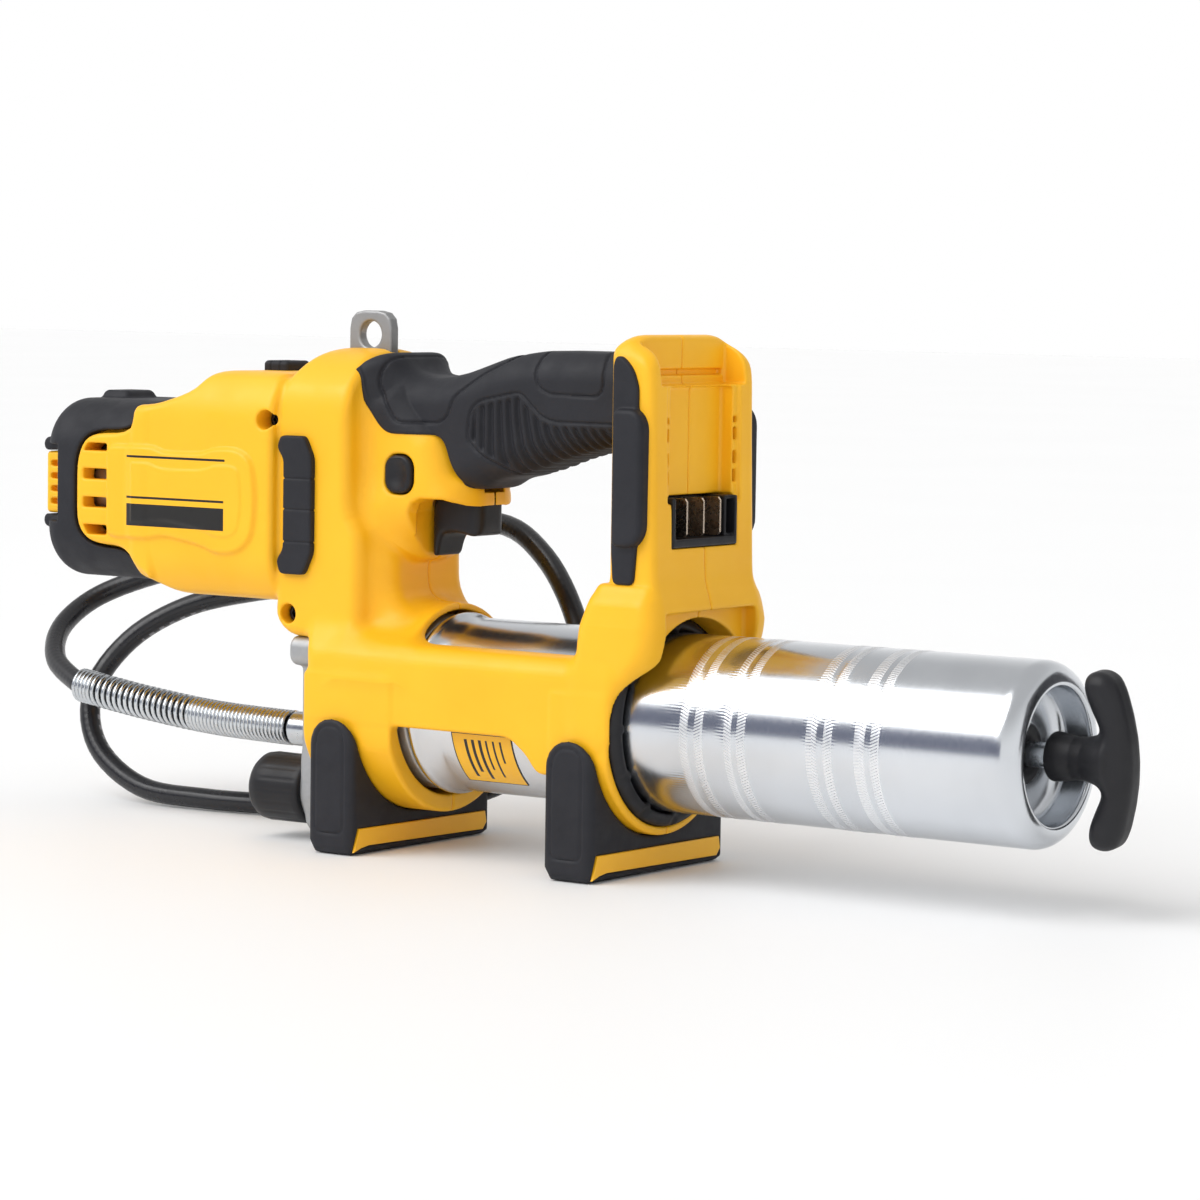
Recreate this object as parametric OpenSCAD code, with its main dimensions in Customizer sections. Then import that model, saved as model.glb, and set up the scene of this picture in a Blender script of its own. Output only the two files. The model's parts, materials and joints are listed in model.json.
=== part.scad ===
// Cordless grease gun: motor and pump head in front, D-handle on top,
// cartridge barrel along the bottom, two feet, hose looped on the far side.
// +X runs to the rear (T-handle), +Z up. The origin is on the ground under the
// middle of the tool. The tool's mid-plane is Y = 0.

/* [Barrel] */
// Outer diameter of the grease barrel
barrel_d = 58; // [57.6:0.1:58.4]
// Wall thickness of the barrel
barrel_wall = 1.5; // [1.2:0.1:1.8]
// Height of the barrel axis above the ground
axis_h = 49.5; // [49.3:0.1:49.7]
// Distance of the barrel's rear rim behind the origin
barrel_rear = 188; // [186:1:190]
// Depth of the dished end plate behind the rim
dish_depth = 14; // [12:1:16]

/* [Feet] */
// Width of each foot across the tool
foot_w = 77; // [76:0.5:78]
// Rear face of the front foot
front_foot_x = -56; // [-56.5:0.5:-55.5]
// Rear face of the rear foot
rear_foot_x = 41; // [40.5:0.5:41.5]
// Thickness of each foot along the tool
foot_t = 19; // [18:0.5:20]
// Height of the arched top of each foot
foot_h = 46; // [44:0.5:48]

/* [Motor] */
// Height of the motor axis above the ground
motor_h = 117; // [116.8:0.1:117.2]
// Outer diameter of the motor can
motor_d = 51.6; // [50:0.2:51.6]
// Module of the gear teeth
gear_m = 0.6; // [0.58:0.01:0.62]
// Throw of the crank pin
crank_r = 4; // [3:0.5:4]

/* [Hose] */
// Outer diameter of the hose
hose_d = 7.5; // [7:0.1:8]
// Outer diameter of the spring guard
guard_d = 12.4; // [12:0.1:13]

/* [Controls] */
// Travel of the trigger into the handle
trigger_travel = 5; // [3:0.5:5]
// Turn of the T-handle about its rod at rest
handle_turn = 6; // [-20:1:20]

/* [Hidden] */
$fn = 48;

eps = 0.05;
barrel_r = barrel_d / 2;
bore_r = barrel_r - barrel_wall;
barrel_front = -40;
spigot_r = 27;
spigot_len = 14;
shoulder_r = 7;
mouth_r = barrel_r - shoulder_r;
dish_x = barrel_rear - dish_depth;
channel_r = barrel_r + 2.2;
half_w = 35;                 // half width of the lower bar
column_w = 29;               // half width of the gear column and battery column
neck_w = 19.5;               // half width of the neck behind the gear column
core_w = 13;                 // half width of the hard core inside the grip
grip_w = 16.5;               // half width of the soft grip
saddle_r = 37;
seam = 0.02;                 // half gap between the two housing halves

// outline of the soft grip, seen from the side
GRIP = [
  [-71, 157], [-69, 163], [-64, 166.5], [-59, 166.5], [-56, 164], [-53, 160.5], [-47, 158.8],
  [-41, 158.8], [-32, 160.5], [-23, 163.5], [-14, 166.5], [0, 168.5], [36.5, 168.5],
  [36.5, 138.5], [28, 137.5], [20, 135.8], [7, 132.3], [-2, 129], [-11, 126.5], [-19, 125],
  [-24, 121.5], [-30, 122], [-33, 128], [-36, 137], [-39, 139.5], [-57, 139.5], [-61, 142],
  [-66, 150]
];

// trigger and its slot
trigger_x = -48.8;
trigger_w = 8;
trigger_top = 118.5;

// centre of the lock button
button_x = -52.4;
button_z = 126.2;

// gear train
sun_teeth = 12;
planet_teeth = 24;
ring_teeth = sun_teeth + 2 * planet_teeth;
planet_orbit = gear_m * (sun_teeth + planet_teeth) / 2;
gear_x = -106;
gear_len = 8;

// pump head
head_front = -90;
piston_x = -80;
piston_r = 4;
outlet_y = 3;
outlet_z = 35;
knob_y = -13.5;
knob_z = 17;
knob_r = 11.8;
ball_x = -84;

// screws that hold the housing halves: [x, z, half width of the housing there, from the far side]
SCREWS = [
  [-100, 143, 29, false], [-92, 78, 29, false], [-77, 143.5, 29, true], [47, 88, 34, true]];

// route of the spring guard, from the fitting forwards
GUARD_ROUTE = [[-114, 3, 35], [-150, 3, 36], [-185, 4, 39], [-217, 5, 43]];
// route of the hose, from the guard's end to the coupler on the far side
HOSE_ROUTE = [
  [-217, 5, 43], [-236, 13, 50], [-247, 27, 60], [-246, 43, 70], [-232, 55, 78], [-205, 60, 85],
  [-160, 63, 94], [-115, 64, 102], [-72, 61, 106], [-46, 54, 96], [-28, 48, 76], [-22, 46, 54],
  [-34, 45, 32], [-56, 45, 17], [-84, 44, 8], [-112, 36, 4.5], [-140, 26, 4], [-170, 20, 4],
  [-200, 19, 6], [-222, 20, 19], [-229, 25, 38], [-220, 35, 57], [-200, 44, 70],
  [-172, 50, 77], [-141, 50, 81], [-113, 46, 88], [-93, 42, 100], [-85, 40, 112], [-84, 40, 120]
];
coupler_x = -84;
coupler_y = 40;
coupler_z = 120;
coupler_r = 7;
// the coupler's mouth, which takes a grease nipple
nipple_r = 3.3;
mouth_depth = 6;

// ---------- helpers ----------

// points of an arc about [cx, cz]
function arc(cx, cz, r, a0, a1, n = 6) =
  [for (i = [0:n]) let (a = a0 + (a1 - a0) * i / n) [cx + r * cos(a), cz + r * sin(a)]];

// points of a rectangle with round corners, centred on [cx, cz]
function round_rect(w, h, r, cx = 0, cz = 0) = concat(
  arc(cx + w / 2 - r, cz + h / 2 - r, r, 0, 90), arc(cx - w / 2 + r, cz + h / 2 - r, r, 90, 180),
  arc(cx - w / 2 + r, cz - h / 2 + r, r, 180, 270), arc(cx + w / 2 - r, cz - h / 2 + r, r, 270, 360));

// a side outline in X-Z, given thickness across the tool from y0 to y1
module side_slab(y0, y1) translate([0, y1, 0]) rotate([90, 0, 0]) linear_extrude(y1 - y0) children();

// a cross-section in Y-Z, swept from x0 to x1
module section(x0, x1) translate([x0, 0, 0]) rotate([90, 0, 90]) linear_extrude(x1 - x0) children();

// a plain box between two corners
module block(a, b) translate(a) cube(b - a);

// a round bar along X
module bar_x(x0, x1, r, y = 0, z = 0) translate([x0, y, z]) rotate([0, 90, 0]) cylinder(h = x1 - x0, r = r);

// a round bar across the tool
module bar_y(y0, y1, r, x = 0, z = 0) translate([x, y1, z]) rotate([90, 0, 0]) cylinder(h = y1 - y0, r = r);

// revolve a [radius, x] outline about an axis along X
module turned(y = 0, z = 0) translate([0, y, z]) rotate([0, 90, 0]) rotate_extrude() children();

// both sides of the tool
module both_sides() {
  children();
  mirror([0, 1, 0]) children();
}

// Catmull-Rom point between p1 and p2
function blend_point(p0, p1, p2, p3, t) =
  0.5 * (2 * p1 + (p2 - p0) * t + (2 * p0 - 5 * p1 + 4 * p2 - p3) * t * t
         + (3 * p1 - p0 - 3 * p2 + p3) * t * t * t);
function smooth_route(p, steps) = let (n = len(p)) concat(
  [for (i = [0:n - 2], k = [0:steps - 1])
    blend_point(p[max(i - 1, 0)], p[i], p[i + 1], p[min(i + 2, n - 1)], k / steps)], [p[n - 1]]);
function unit(v) = v / norm(v);
function tangent(p, i) = unit(p[min(i + 1, len(p) - 1)] - p[max(i - 1, 0)]);
// frames carried along the route without twist
function carried(p, i, side) = let (t = tangent(p, i)) unit(side - (side * t) * t);
function sides(p, i = 0, side = [0, 1, 0]) =
  i >= len(p) ? [] : let (s = carried(p, i, side)) concat([s], sides(p, i + 1, s));

// a closed tube of n flat sides along the points p
module tube(p, r, n) {
  s = sides(p);
  last = len(p) - 1;
  rings = [for (i = [0:last], k = [0:n - 1])
    let (t = tangent(p, i), a = 360 * k / n) p[i] + r * (cos(a) * s[i] + sin(a) * cross(t, s[i]))];
  walls = [for (i = [0:last - 1], k = [0:n - 1])
    [i * n + k, i * n + (k + 1) % n, (i + 1) * n + (k + 1) % n, (i + 1) * n + k]];
  caps = [[for (k = [n - 1:-1:0]) k], [for (k = [0:n - 1]) last * n + k]];
  flat_walls = [for (w = walls) each [[w[0], w[2], w[1]], [w[0], w[3], w[2]]]];
  flipped_caps = [for (c = caps) [for (k = [len(c) - 1:-1:0]) c[k]]];
  polyhedron(rings, concat(flat_walls, flipped_caps), convexity = 10);
}

// outline of a spur gear with straight-sided teeth
function gear_outline(teeth, m, out, in, phase = 0) = [for (i = [0:teeth - 1], c = [0:3])
  let (step = 360 / teeth, r = c == 0 || c == 3 ? m * teeth / 2 - in : m * teeth / 2 + out,
       a = phase + step * (i + [-0.25, -0.12, 0.12, 0.25][c])) [r * cos(a), r * sin(a)]];

// ---------- outside of the hard housing ----------

module motor_outside() {
  section(-196, -158) polygon(round_rect(57, 55, 18, 0, motor_h));
  section(-188, -150) polygon(round_rect(65, 38.5, 6, 0, motor_h + 0.5));
  intersection() {
    side_slab(-33, 33) polygon([
      [-160, 87], [-160, 147], [-153, 147], [-146, 148.5], [-134.5, 152.5], [-131.5, 157.5],
      [-127, 159.5],
      [-96, 159.5], [-96, 81], [-145, 81], [-153, 85]]);
    section(-161, -96) polygon(round_rect(66, 80, 20, 0, 119.5));
  }
}

module column_outside() intersection() {
  side_slab(-column_w, column_w) polygon([
    [-98, 84], [-98, 157], [-93, 164], [-87, 167.5], [-71, 167.5], [-67.5, 164], [-67, 112],
    [-62, 108], [-62, 60], [-80, 60], [-82, 71], [-92, 71], [-97, 76]]);
  section(-99, -61) polygon(concat(arc(0, 112.5, 55, 58, 122, 10), [[-30, 50], [30, 50]]));
}

// the neck's rear is round in plan, so narrower slabs reach further back: [half width, setback]
module neck_outside() {
  for (s = [[neck_w, 13], [17, 6], [13, 2], [9, 0]]) let (d = s[1])
    side_slab(-s[0], s[0]) polygon([
      [-66, 70], [-66, 158], [-50 - d / 2, 158], [-50 - d / 2, 139], [-37 - d, 139],
      [-33 - d, 126], [-26.5 - d, 121], [-25.5 - d, 118.3], [-27 - d, 115.5], [-31 - d, 116],
      [-34 - d, 118.3], [-46 - d / 2, 118.3], [-49.2 - d / 2, 113.5],
      [-49.2 - d / 2, 98], [-54 - d / 3, 97], [-54 - d / 3, 88], [-50 - d / 3, 80], [-50 - d / 3, 70]]);
  intersection() {
    bar_x(-62, -41, 33.5, 0, axis_h);
    block([-62, -34, 60], [-41, 34, 90]);
  }
}

module grip_core() side_slab(-core_w, core_w) {
  offset(delta = -3.5) polygon(GRIP);
  polygon([[-60, 143], [-60, 157], [-50, 155.5], [-37, 155.5], [-26.5, 157], [-26.5, 124], [-36, 124]]);
  polygon([[20, 141], [20, 164], [40, 164], [40, 141]]);
}

module battery_column_outside() {
  side_slab(-29.5, 29.5) polygon([
    [33, 83], [37, 100], [37, 166], [39, 171.5], [42.5, 175], [46.5, 175], [48.5, 172],
    [52, 169.8], [55.3, 166.3], [56.2, 160], [56.5, 140], [57.5, 100], [58.5, 83]]);
  side_slab(-34, 34) polygon([
    [30, 60], [31, 78], [35, 92], [57.5, 92], [59, 83], [58, 75], [44.5, 56], [44.5, 50], [30, 50]]);
}

module lower_bar_outside() {
  side_slab(-half_w, half_w) polygon([
    [-80, 44], [-80, 78], [-66, 78], [-58, 73], [-46, 71.5], [24, 71.5], [32, 76],
    [44.5, 66], [44.5, 44]]);
  for (x = [[-80, -43], [22, 44.5]]) intersection() {
    bar_x(x[0], x[1], saddle_r, 0, axis_h);
    side_slab(-half_w, half_w) translate([x[0], 0]) square([x[1] - x[0], 60]);
  }
  for (x = [front_foot_x, rear_foot_x])
    block([x - foot_t + 3, -34, 3.5], [x - 3, 34, 44.1]);
}

module shell_outside() {
  motor_outside();
  column_outside();
  neck_outside();
  grip_core();
  battery_column_outside();
  lower_bar_outside();
}

// ---------- hollows inside the hard housing ----------

module shell_hollows() {
  bar_x(-192, -111, 26.3, 0, motor_h);
  bar_x(-111.5, -68, 21.4, 0, motor_h);
  block([-88, -10, 68], [-71, 10, 100]);
  block([-95, -24.3, -1], [-76.5, 24.3, 72.3]);
  block([-95, -24.3, 21.7], [-59.5, 24.3, 72.3]);
  bar_x(-61.1, 62, channel_r, 0, axis_h);
  bar_x(37.5, 62, 34.2, 0, axis_h);
  block([-45, -11.5, 124.4], [-28, 11.5, 151]);
  block([-29, -4, 144], [44, 4, 155]);
  block([41, -9, 108], [49, 9, 156]);
  block([-72, -4, 140], [-44, 4, 148]);
}

module trigger_slot() block([trigger_x - 0.4, -trigger_w - 0.4, 96], [-27.2, trigger_w + 0.4, 124.5]);

module button_hole(gap) side_slab(-40, 40)
  polygon(round_rect(11 + 2 * gap, 12.6 + 2 * gap, 4.4 + gap, button_x, button_z));

module battery_face() {
  block([50.5, -18, 122.8], [70, 18, 158]);
  block([48.5, -18.3, 158], [70, 18.3, 163.3]);
  block([47.2, -24, 163.2], [70, 24, 180]);
  for (y = [[-22, -18], [18, 22]]) block([52, y[0], 122.8], [54.5, y[1], 160]);
  block([43.9, -18.6, 106.6], [70, 18.6, 123]);
  block([55.5, -26, 72], [70, 26, 86]);
}

module vent_slots() {
  for (z = [102, 112, 121.6, 130.8])
    both_sides() block([-181, 20, z - 1.9], [-171, 40, z + 1.9]);
}

module screw_places() for (s = SCREWS) {
  if (s[3]) mirror([0, 1, 0]) translate([s[0], -s[2], s[1]]) children();
  else translate([s[0], -s[2], s[1]]) children();
}

module screw_holes() screw_places() {
  bar_y(-20, 41, 1.6);
  bar_y(-5, 8, 3.3);
}

module lug_slot() block([-88.3, -2.3, 149.7], [-69.7, 2.3, 190]);

module shell() difference() {
  shell_outside();
  shell_hollows();
  trigger_slot();
  button_hole(0.3);
  battery_face();
  vent_slots();
  screw_holes();
  lug_slot();
}

module housing_left() color("gold") intersection() {
  shell();
  block([-300, -100, -10], [300, -seam, 300]);
}

module housing_right() color("gold") intersection() {
  shell();
  block([-300, seam, -10], [300, 100, 300]);
}

// ---------- soft and trim parts on the housing ----------

module front_bumper() color("dimgray") difference() {
  union() {
    section(-203, -158) polygon(round_rect(64, 62.5, 18, 0, 116.3));
    for (z = [[129.2, 133.4], [102.2, 106.4]]) {
      block([-205.5, -26.5, z[0]], [-200, 26.5, z[1]]);
      block([-210.5, -14, z[0]], [-200, 14, z[1]]);
    }
    block([-196, -12, 140], [-176, 12, 150.2]);
    block([-196, -12, 84.4], [-176, 12, 92]);
  }
  section(-199.05, -192) polygon(round_rect(46, 46, 16, 0, motor_h));
  section(-197, -157.9) polygon(round_rect(57.1, 55.1, 18, 0, motor_h));
  section(-188.1, -157) polygon(round_rect(80, 38.6, 6, 0, motor_h + 0.5));
  block([-230, -26.1, 106.4], [-198, 26.1, 129.2]);
  both_sides() block([-230, 26, 106.4], [-197.2, 40, 129.2]);
  intersection() {
    side_slab(-40, 40) polygon([
      [-160.05, 80], [-160.05, 147.1], [-153, 147.1], [-153, 80]]);
    section(-161, -93) polygon(round_rect(66.1, 80.1, 20, 0, 119.5));
  }
}

module vent_panel() color("gold") difference() {
  union() {
    block([-205, -26, 106.6], [-199, 26, 129]);
    section(-199, -196.2) polygon(round_rect(45.4, 45.4, 16, 0, motor_h));
  }
  for (z = [109.6, 114.1, 118.6, 123.1]) {
    block([-220, -21, z], [-202, 21, z + 2.4]);
    both_sides() block([-203.6, 24, z], [-200, 30, z + 2.4]);
  }
}

module top_pad() color("dimgray") section(-123, -106)
  polygon(concat([[9, 159.55], [9, 161]], arc(7, 161, 2, 0, 90, 4), arc(-7, 161, 2, 90, 180, 4),
                 [[-9, 159.55]]));

module grip_outside() {
  side_slab(-grip_w, grip_w) offset(delta = -2.5) polygon(GRIP);
  side_slab(-grip_w + 3, grip_w - 3) polygon(GRIP);
  for (s = [[20.5, -56], [18.5, -51]]) intersection() {
    side_slab(-s[0], s[0]) offset(delta = -1) polygon(GRIP);
    block([-80, -30, 100], [s[1], 30, 200]);
  }
}

module grip_overmold() color("dimgray") difference() {
  grip_outside();
  shell_outside();
  trigger_slot();
  lug_slot();
}

module side_pads() color("dimgray") both_sides() side_slab(column_w + eps, 31.5) polygon([
  [-94, 138], [-84, 138], [-80.5, 131], [-80.5, 99], [-84, 91.5], [-94, 91.5],
  [-95.5, 96], [-92.5, 100], [-92.5, 130], [-95.5, 134]]);

module column_bumpers() color("dimgray") both_sides() {
  side_slab(29.5 + eps, 31) polygon([
    [41.8, 165], [43, 168], [46, 168], [50, 163.5], [52, 158], [52, 106], [50.5, 95], [42.5, 95],
    [41.8, 104]]);
  side_slab(31, 34) polygon([
    [44, 151], [52, 151], [55, 147], [55, 112], [52, 108], [44, 108]]);
}

// a foot: arched block, hollowed for the hard core and for the saddle
module foot(x1) {
  x0 = x1 - foot_t;
  mid = (x0 + x1) / 2;
  color("dimgray") difference() {
    side_slab(-foot_w / 2, foot_w / 2) polygon(concat(
      [[x0, 3], [x0 + 2, 0], [x1 - 1, 0], [x1, 1]],
      arc(mid, foot_h - foot_t / 2, foot_t / 2, 0, 180, 10)));
    bar_x(x0 - 1, x1 + 1, saddle_r + eps, 0, axis_h);
    block([x0 + 3 - eps, -34 - eps, 3.5 - eps], [x1 - 3 + eps, 34 + eps, 60]);
    block([x0 - 1, -half_w - eps, 44 - eps], [x1 + 1, half_w + eps, 90]);
    block([-95, -24.3, 21.7], [-59.5, 24.3, 72.3]);
    block([x1 - 1, -37, 2.5], [x1 + 1, 36, 8.8]);
  }
}

module front_foot() foot(front_foot_x);

module rear_foot() foot(rear_foot_x);

module foot_stripes() color("goldenrod") for (x1 = [front_foot_x, rear_foot_x])
  section(x1 - 0.95, x1 + 0.2) polygon([[-36.9, 2.6], [32.5, 2.6], [35.9, 6], [35.9, 8.7], [-36.9, 8.7]]);

module hanging_lug() color("silver") difference() {
  side_slab(-2.2, 2.2) polygon(concat(
    [[-88, 150], [-70, 150]], arc(-75, 175, 5, 0, 90), arc(-83, 175, 5, 90, 180)));
  bar_y(-5, 5, 4.5, -79, 172);
}

module terminal_block() color("dimgray") difference() {
  block([44, -18.4, 106.8], [58, 18.4, 122.8]);
  block([47, -17, 109.3], [60, 17.3, 130]);
  for (y = [-9.3, 0.2, 9.7]) block([43.9, y - 0.5, 109.8], [57, y + 0.5, 130]);
}

module terminal_blades() color("silver") for (y = [-9.3, 0.2, 9.7])
  block([44.2, y - 0.4, 110], [56.5, y + 0.4, 122.3]);

module barrel_collar() color("dimgray") turned(0, axis_h)
  polygon([[barrel_r + 0.4, 38], [34, 38], [34, 46], [32.5, 47.5], [barrel_r + 0.4, 47.5]]);

module barrel_label() color("goldenrod") intersection() {
  turned(0, axis_h) polygon([
    [barrel_r + 0.02, -24], [barrel_r + 0.3, -24], [barrel_r + 0.3, 4], [barrel_r + 0.02, 4]]);
  block([-30, -40, 26], [10, 0, 46]);
}

module housing_screws() color("silver") screw_places() {
  bar_y(5, 7.9, 3);
  bar_y(7, 40, 1.5);
}

// ---------- motor and gears ----------

module motor_can() color("slategray") turned(0, motor_h) polygon([
  [motor_d / 2, -186], [motor_d / 2, -112], [8.1, -112], [8.1, -114], [24, -114],
  [24, -184], [8.1, -184], [8.1, -186]]);

module motor_bearings() color("silver") for (x = [-187, -114.5]) turned(0, motor_h)
  polygon([[2.55, x], [8, x], [8, x + 5], [2.55, x + 5]]);

module rotor() color("peru") {
  bar_x(-190, gear_x - 1.02, 2.5, 0, motor_h);
  bar_x(-163, -122, 21.5, 0, motor_h);
  bar_x(-119, -116, 8, 0, motor_h);
}

module cooling_fan() color("dimgray") {
  turned(0, motor_h) polygon([[2.5, -178], [6, -178], [6, -168], [2.5, -168]]);
  for (a = [0:40:320]) translate([0, 0, motor_h]) rotate([a, 0, 0])
    block([-176, -0.8, 5.5], [-168, 0.8, 21.5]);
  turned(0, motor_h) polygon([[5.5, -169.5], [21.5, -169.5], [21.5, -168], [5.5, -168]]);
}

module sun_gear() color("silver") translate([gear_x - 1, 0, motor_h]) rotate([90, 0, 90])
  linear_extrude(gear_len + 1) polygon(gear_outline(sun_teeth, gear_m, 0.5, 0.7));

module ring_gear() color("slategray") translate([gear_x - 2, 0, motor_h]) rotate([90, 0, 90])
  linear_extrude(gear_len + 3) difference() {
    circle(r = 21.1);
    polygon([for (i = [0:ring_teeth - 1], c = [0:3])
      let (step = 360 / ring_teeth, pitch_r = gear_m * ring_teeth / 2,
           r = c == 0 || c == 3 ? pitch_r + 0.7 : pitch_r - 0.5,
           a = step * (i + [-0.25, -0.12, 0.12, 0.25][c])) [r * cos(a), r * sin(a)]]);
  }

module planet(i) color("silver") translate([gear_x, 0, motor_h]) rotate([90, 0, 90]) rotate(120 * i)
  translate([planet_orbit, 0]) linear_extrude(gear_len) difference() {
    polygon(gear_outline(planet_teeth, gear_m, 0.5, 0.7, 180 / planet_teeth));
    circle(r = 2.05);
  }

module planet_gear_1() planet(0);

module planet_gear_2() planet(1);

module planet_gear_3() planet(2);

module crank() color("slategray") {
  translate([0, 0, motor_h]) for (i = [0:2]) rotate([120 * i, 0, 0])
    translate([gear_x, planet_orbit, 0]) rotate([0, 90, 0]) cylinder(h = gear_len + 2, r = 2);
  bar_x(gear_x + gear_len + 1, gear_x + gear_len + 4, 15, 0, motor_h);
  bar_x(gear_x + gear_len + 3, gear_x + gear_len + 13, 8, 0, motor_h);
  bar_x(gear_x + gear_len + 12, -79, 2.5, 0, motor_h - crank_r);
}

module crank_bearing() color("silver") turned(0, motor_h)
  polygon([[8.05, -93.6], [21.2, -93.6], [21.2, -87], [8.05, -87]]);

// piston with a slotted yoke that leaves the crank pin room at every height
module pump_piston() color("silver") {
  translate([piston_x, 0, 50.5]) cylinder(h = 48, r = piston_r);
  block([piston_x - 3.5, -9.5, 98], [piston_x + 3.5, 9.5, 102]);
  block([piston_x - 3.5, -9.5, 128], [piston_x + 3.5, 9.5, 131.5]);
  both_sides() block([piston_x - 3.5, 7.2, 98], [piston_x + 3.5, 9.5, 131.5]);
}

// ---------- pump head ----------

module pump_head() color("lightgray") difference() {
  union() {
    block([-78, -24, 22], [-60, 24, 72]);
    section(head_front, -77) polygon(round_rect(46, 62, 8, 0, 41));
    section(head_front, -79) polygon(round_rect(44, 30, 6, 0, 18));
    section(head_front - 1.5, -82.1) polygon(round_rect(57, 9.6, 4, 0, 65.2));
    bar_x(-61, barrel_front - 1, 29.4, 0, axis_h);
  }
  bar_x(barrel_front - spigot_len - 2, barrel_front + 1, spigot_r + 0.05, 0, axis_h);
  bar_x(piston_x, -54, 4, 0, axis_h);
  translate([piston_x, 0, 30]) cylinder(h = 60, r = piston_r + 0.05);
  bar_x(head_front - 1, piston_x, 3.2, outlet_y, outlet_z);
  bar_x(head_front - 1, head_front + 9, 5.05, knob_y, knob_z);
  block([-100, -40, -10], [-50, 40, 2.5]);
}

module vent_knob() color("dimgray") {
  turned(knob_y, knob_z) polygon(concat(
    [[0, head_front - 0.3], [0, head_front - 23.5]],
    [[knob_r - 4, head_front - 23.5], [knob_r - 1.2, head_front - 22.3], [knob_r, head_front - 19.5],
     [knob_r, head_front - 0.3]]));
  bar_x(head_front - 1, head_front + 8.5, 5, knob_y, knob_z);
}

module check_ball() color("silver") translate([ball_x, outlet_y, outlet_z]) sphere(r = 2.4);

module check_spring() color("silver") turned(outlet_y, outlet_z)
  polygon([[1.4, -89.8], [2.6, -89.8], [2.6, -88.2], [1.4, -88.2]]);

// ---------- barrel, follower and T-handle ----------

module barrel() color("gainsboro") turned(0, axis_h) polygon(concat(
  [[bore_r - 1.8, barrel_front - spigot_len], [spigot_r, barrel_front - spigot_len],
   [spigot_r, barrel_front], [barrel_r + 1, barrel_front], [barrel_r + 1.5, barrel_front + 1.5],
   [barrel_r + 1, barrel_front + 3], [barrel_r, barrel_front + 4]],
  [for (i = [0:8]) let (a = 90 - i * 11.25)
    [mouth_r + shoulder_r * sin(a), barrel_rear - shoulder_r + shoulder_r * cos(a)]],
  [[mouth_r - 0.6, barrel_rear - 1.2], [mouth_r, barrel_rear - 3], [mouth_r, dish_x + 2],
   [mouth_r - 2, dish_x], [7.05, dish_x], [7.05, dish_x - 1.5], [bore_r, dish_x - 1.5],
   [bore_r, barrel_front + 1], [bore_r - 1.8, barrel_front]]));

module barrel_seal() color("dimgray") turned(0, axis_h) polygon([
  [24, -55.8], [spigot_r, -55.8], [spigot_r, -54.1], [24, -54.1]]);

module rod_bush() color("dimgray") turned(0, axis_h) polygon([
  [4.05, dish_x - 5], [10, dish_x - 5], [10, dish_x - 1.6], [7, dish_x - 1.6], [7, dish_x + 0.1],
  [9, dish_x + 0.1], [9, dish_x + 3], [4.05, dish_x + 3]]);

module follower() color("firebrick") turned(0, axis_h) polygon([
  [4.05, -36], [24, -36], [bore_r - 0.35, -38.5], [bore_r - 0.3, -26], [25, -26], [24, -33],
  [4.05, -33]]);

module follower_spring() {
  turns = 11;
  per_turn = 12;
  start = -31;
  pitch = (dish_x - 7 - start) / turns;
  route = [for (i = [0:turns * per_turn]) let (a = 360 * i / per_turn)
    [start + pitch * i / per_turn, 21 * cos(a), axis_h + 21 * sin(a)]];
  color("silver") tube(route, 1.1, 6);
}

module follower_rod() color("gainsboro") {
  bar_x(-40, 188, 4, 0, axis_h);
  bar_x(-42.5, -39.9, 6, 0, axis_h);
}

module t_handle() color("dimgray") translate([0, 0, axis_h]) rotate([handle_turn, 0, 0]) difference() {
  union() {
    turned() polygon([[0, 186], [8, 186], [8, 190], [7, 195], [7, 200], [9, 204], [9, 208], [0, 208]]);
    side_slab(-6, 6) polygon(concat(
      [[198.5, 16], [201.5, 9], [201.5, -9], [198.5, -16], [197.5, -22]],
      arc(203, -22, 5.5, 180, 270, 4), arc(204, -22, 5.8, 270, 345, 4),
      arc(160, 0, 54, -20, 20, 8),
      arc(204, 22, 5.8, 15, 90, 4), arc(203, 22, 5.5, 90, 180, 4)));
  }
  bar_x(180, 188, 4);
}

// ---------- controls ----------

// round in plan at its rear, so narrower slabs reach further back: [half width, setback]
module trigger() color("dimgray") {
  for (s = [[trigger_w, 1.5], [7, 0.4], [5.5, 0]]) let (d = s[1])
    side_slab(-s[0], s[0]) polygon([
      [trigger_x, 101], [trigger_x + 1, 99], [-46.5, 98.4], [-45 - d, 100], [-44.4 - d, 104],
      [-41 - d, 107], [-31 - d, 106.3], [-28.4 - d, 107.5], [-27.6 - d, 111], [-27.6 - d, trigger_top],
      [trigger_x + 3, trigger_top], [trigger_x, trigger_top - 5]]);
  translate([-38, 0, trigger_top - 0.5]) cylinder(h = 12, r = 2.5);
}

module trigger_switch() color("dimgray") difference() {
  block([-44.5, -9, 126], [-29, 9, 150.5]);
  translate([-38, 0, 125]) cylinder(h = 16, r = 2.56);
}

module lock_button() color("black") side_slab(-20.7, 20.7)
  polygon(round_rect(11, 12.6, 4.4, button_x, button_z));

module control_board() color("darkgreen") block([42, -8, 128], [43.6, 8, 154]);

module wires() color("firebrick") {
  for (y = [-2.2, 2.2]) {
    bar_x(-28.9, 41.9, 1.2, y, 149);
    bar_x(-71.5, -44.6, 1.2, y, 143);
    translate([45.5, y, 122.9]) cylinder(h = 30.2, r = 1.2);
  }
}

// ---------- hose ----------

module hose_fitting() color("silver") {
  bar_x(-114, head_front - 0.05, 6, outlet_y, outlet_z);
  bar_x(-98, head_front - 0.05, 7, outlet_y, outlet_z);
}

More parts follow.
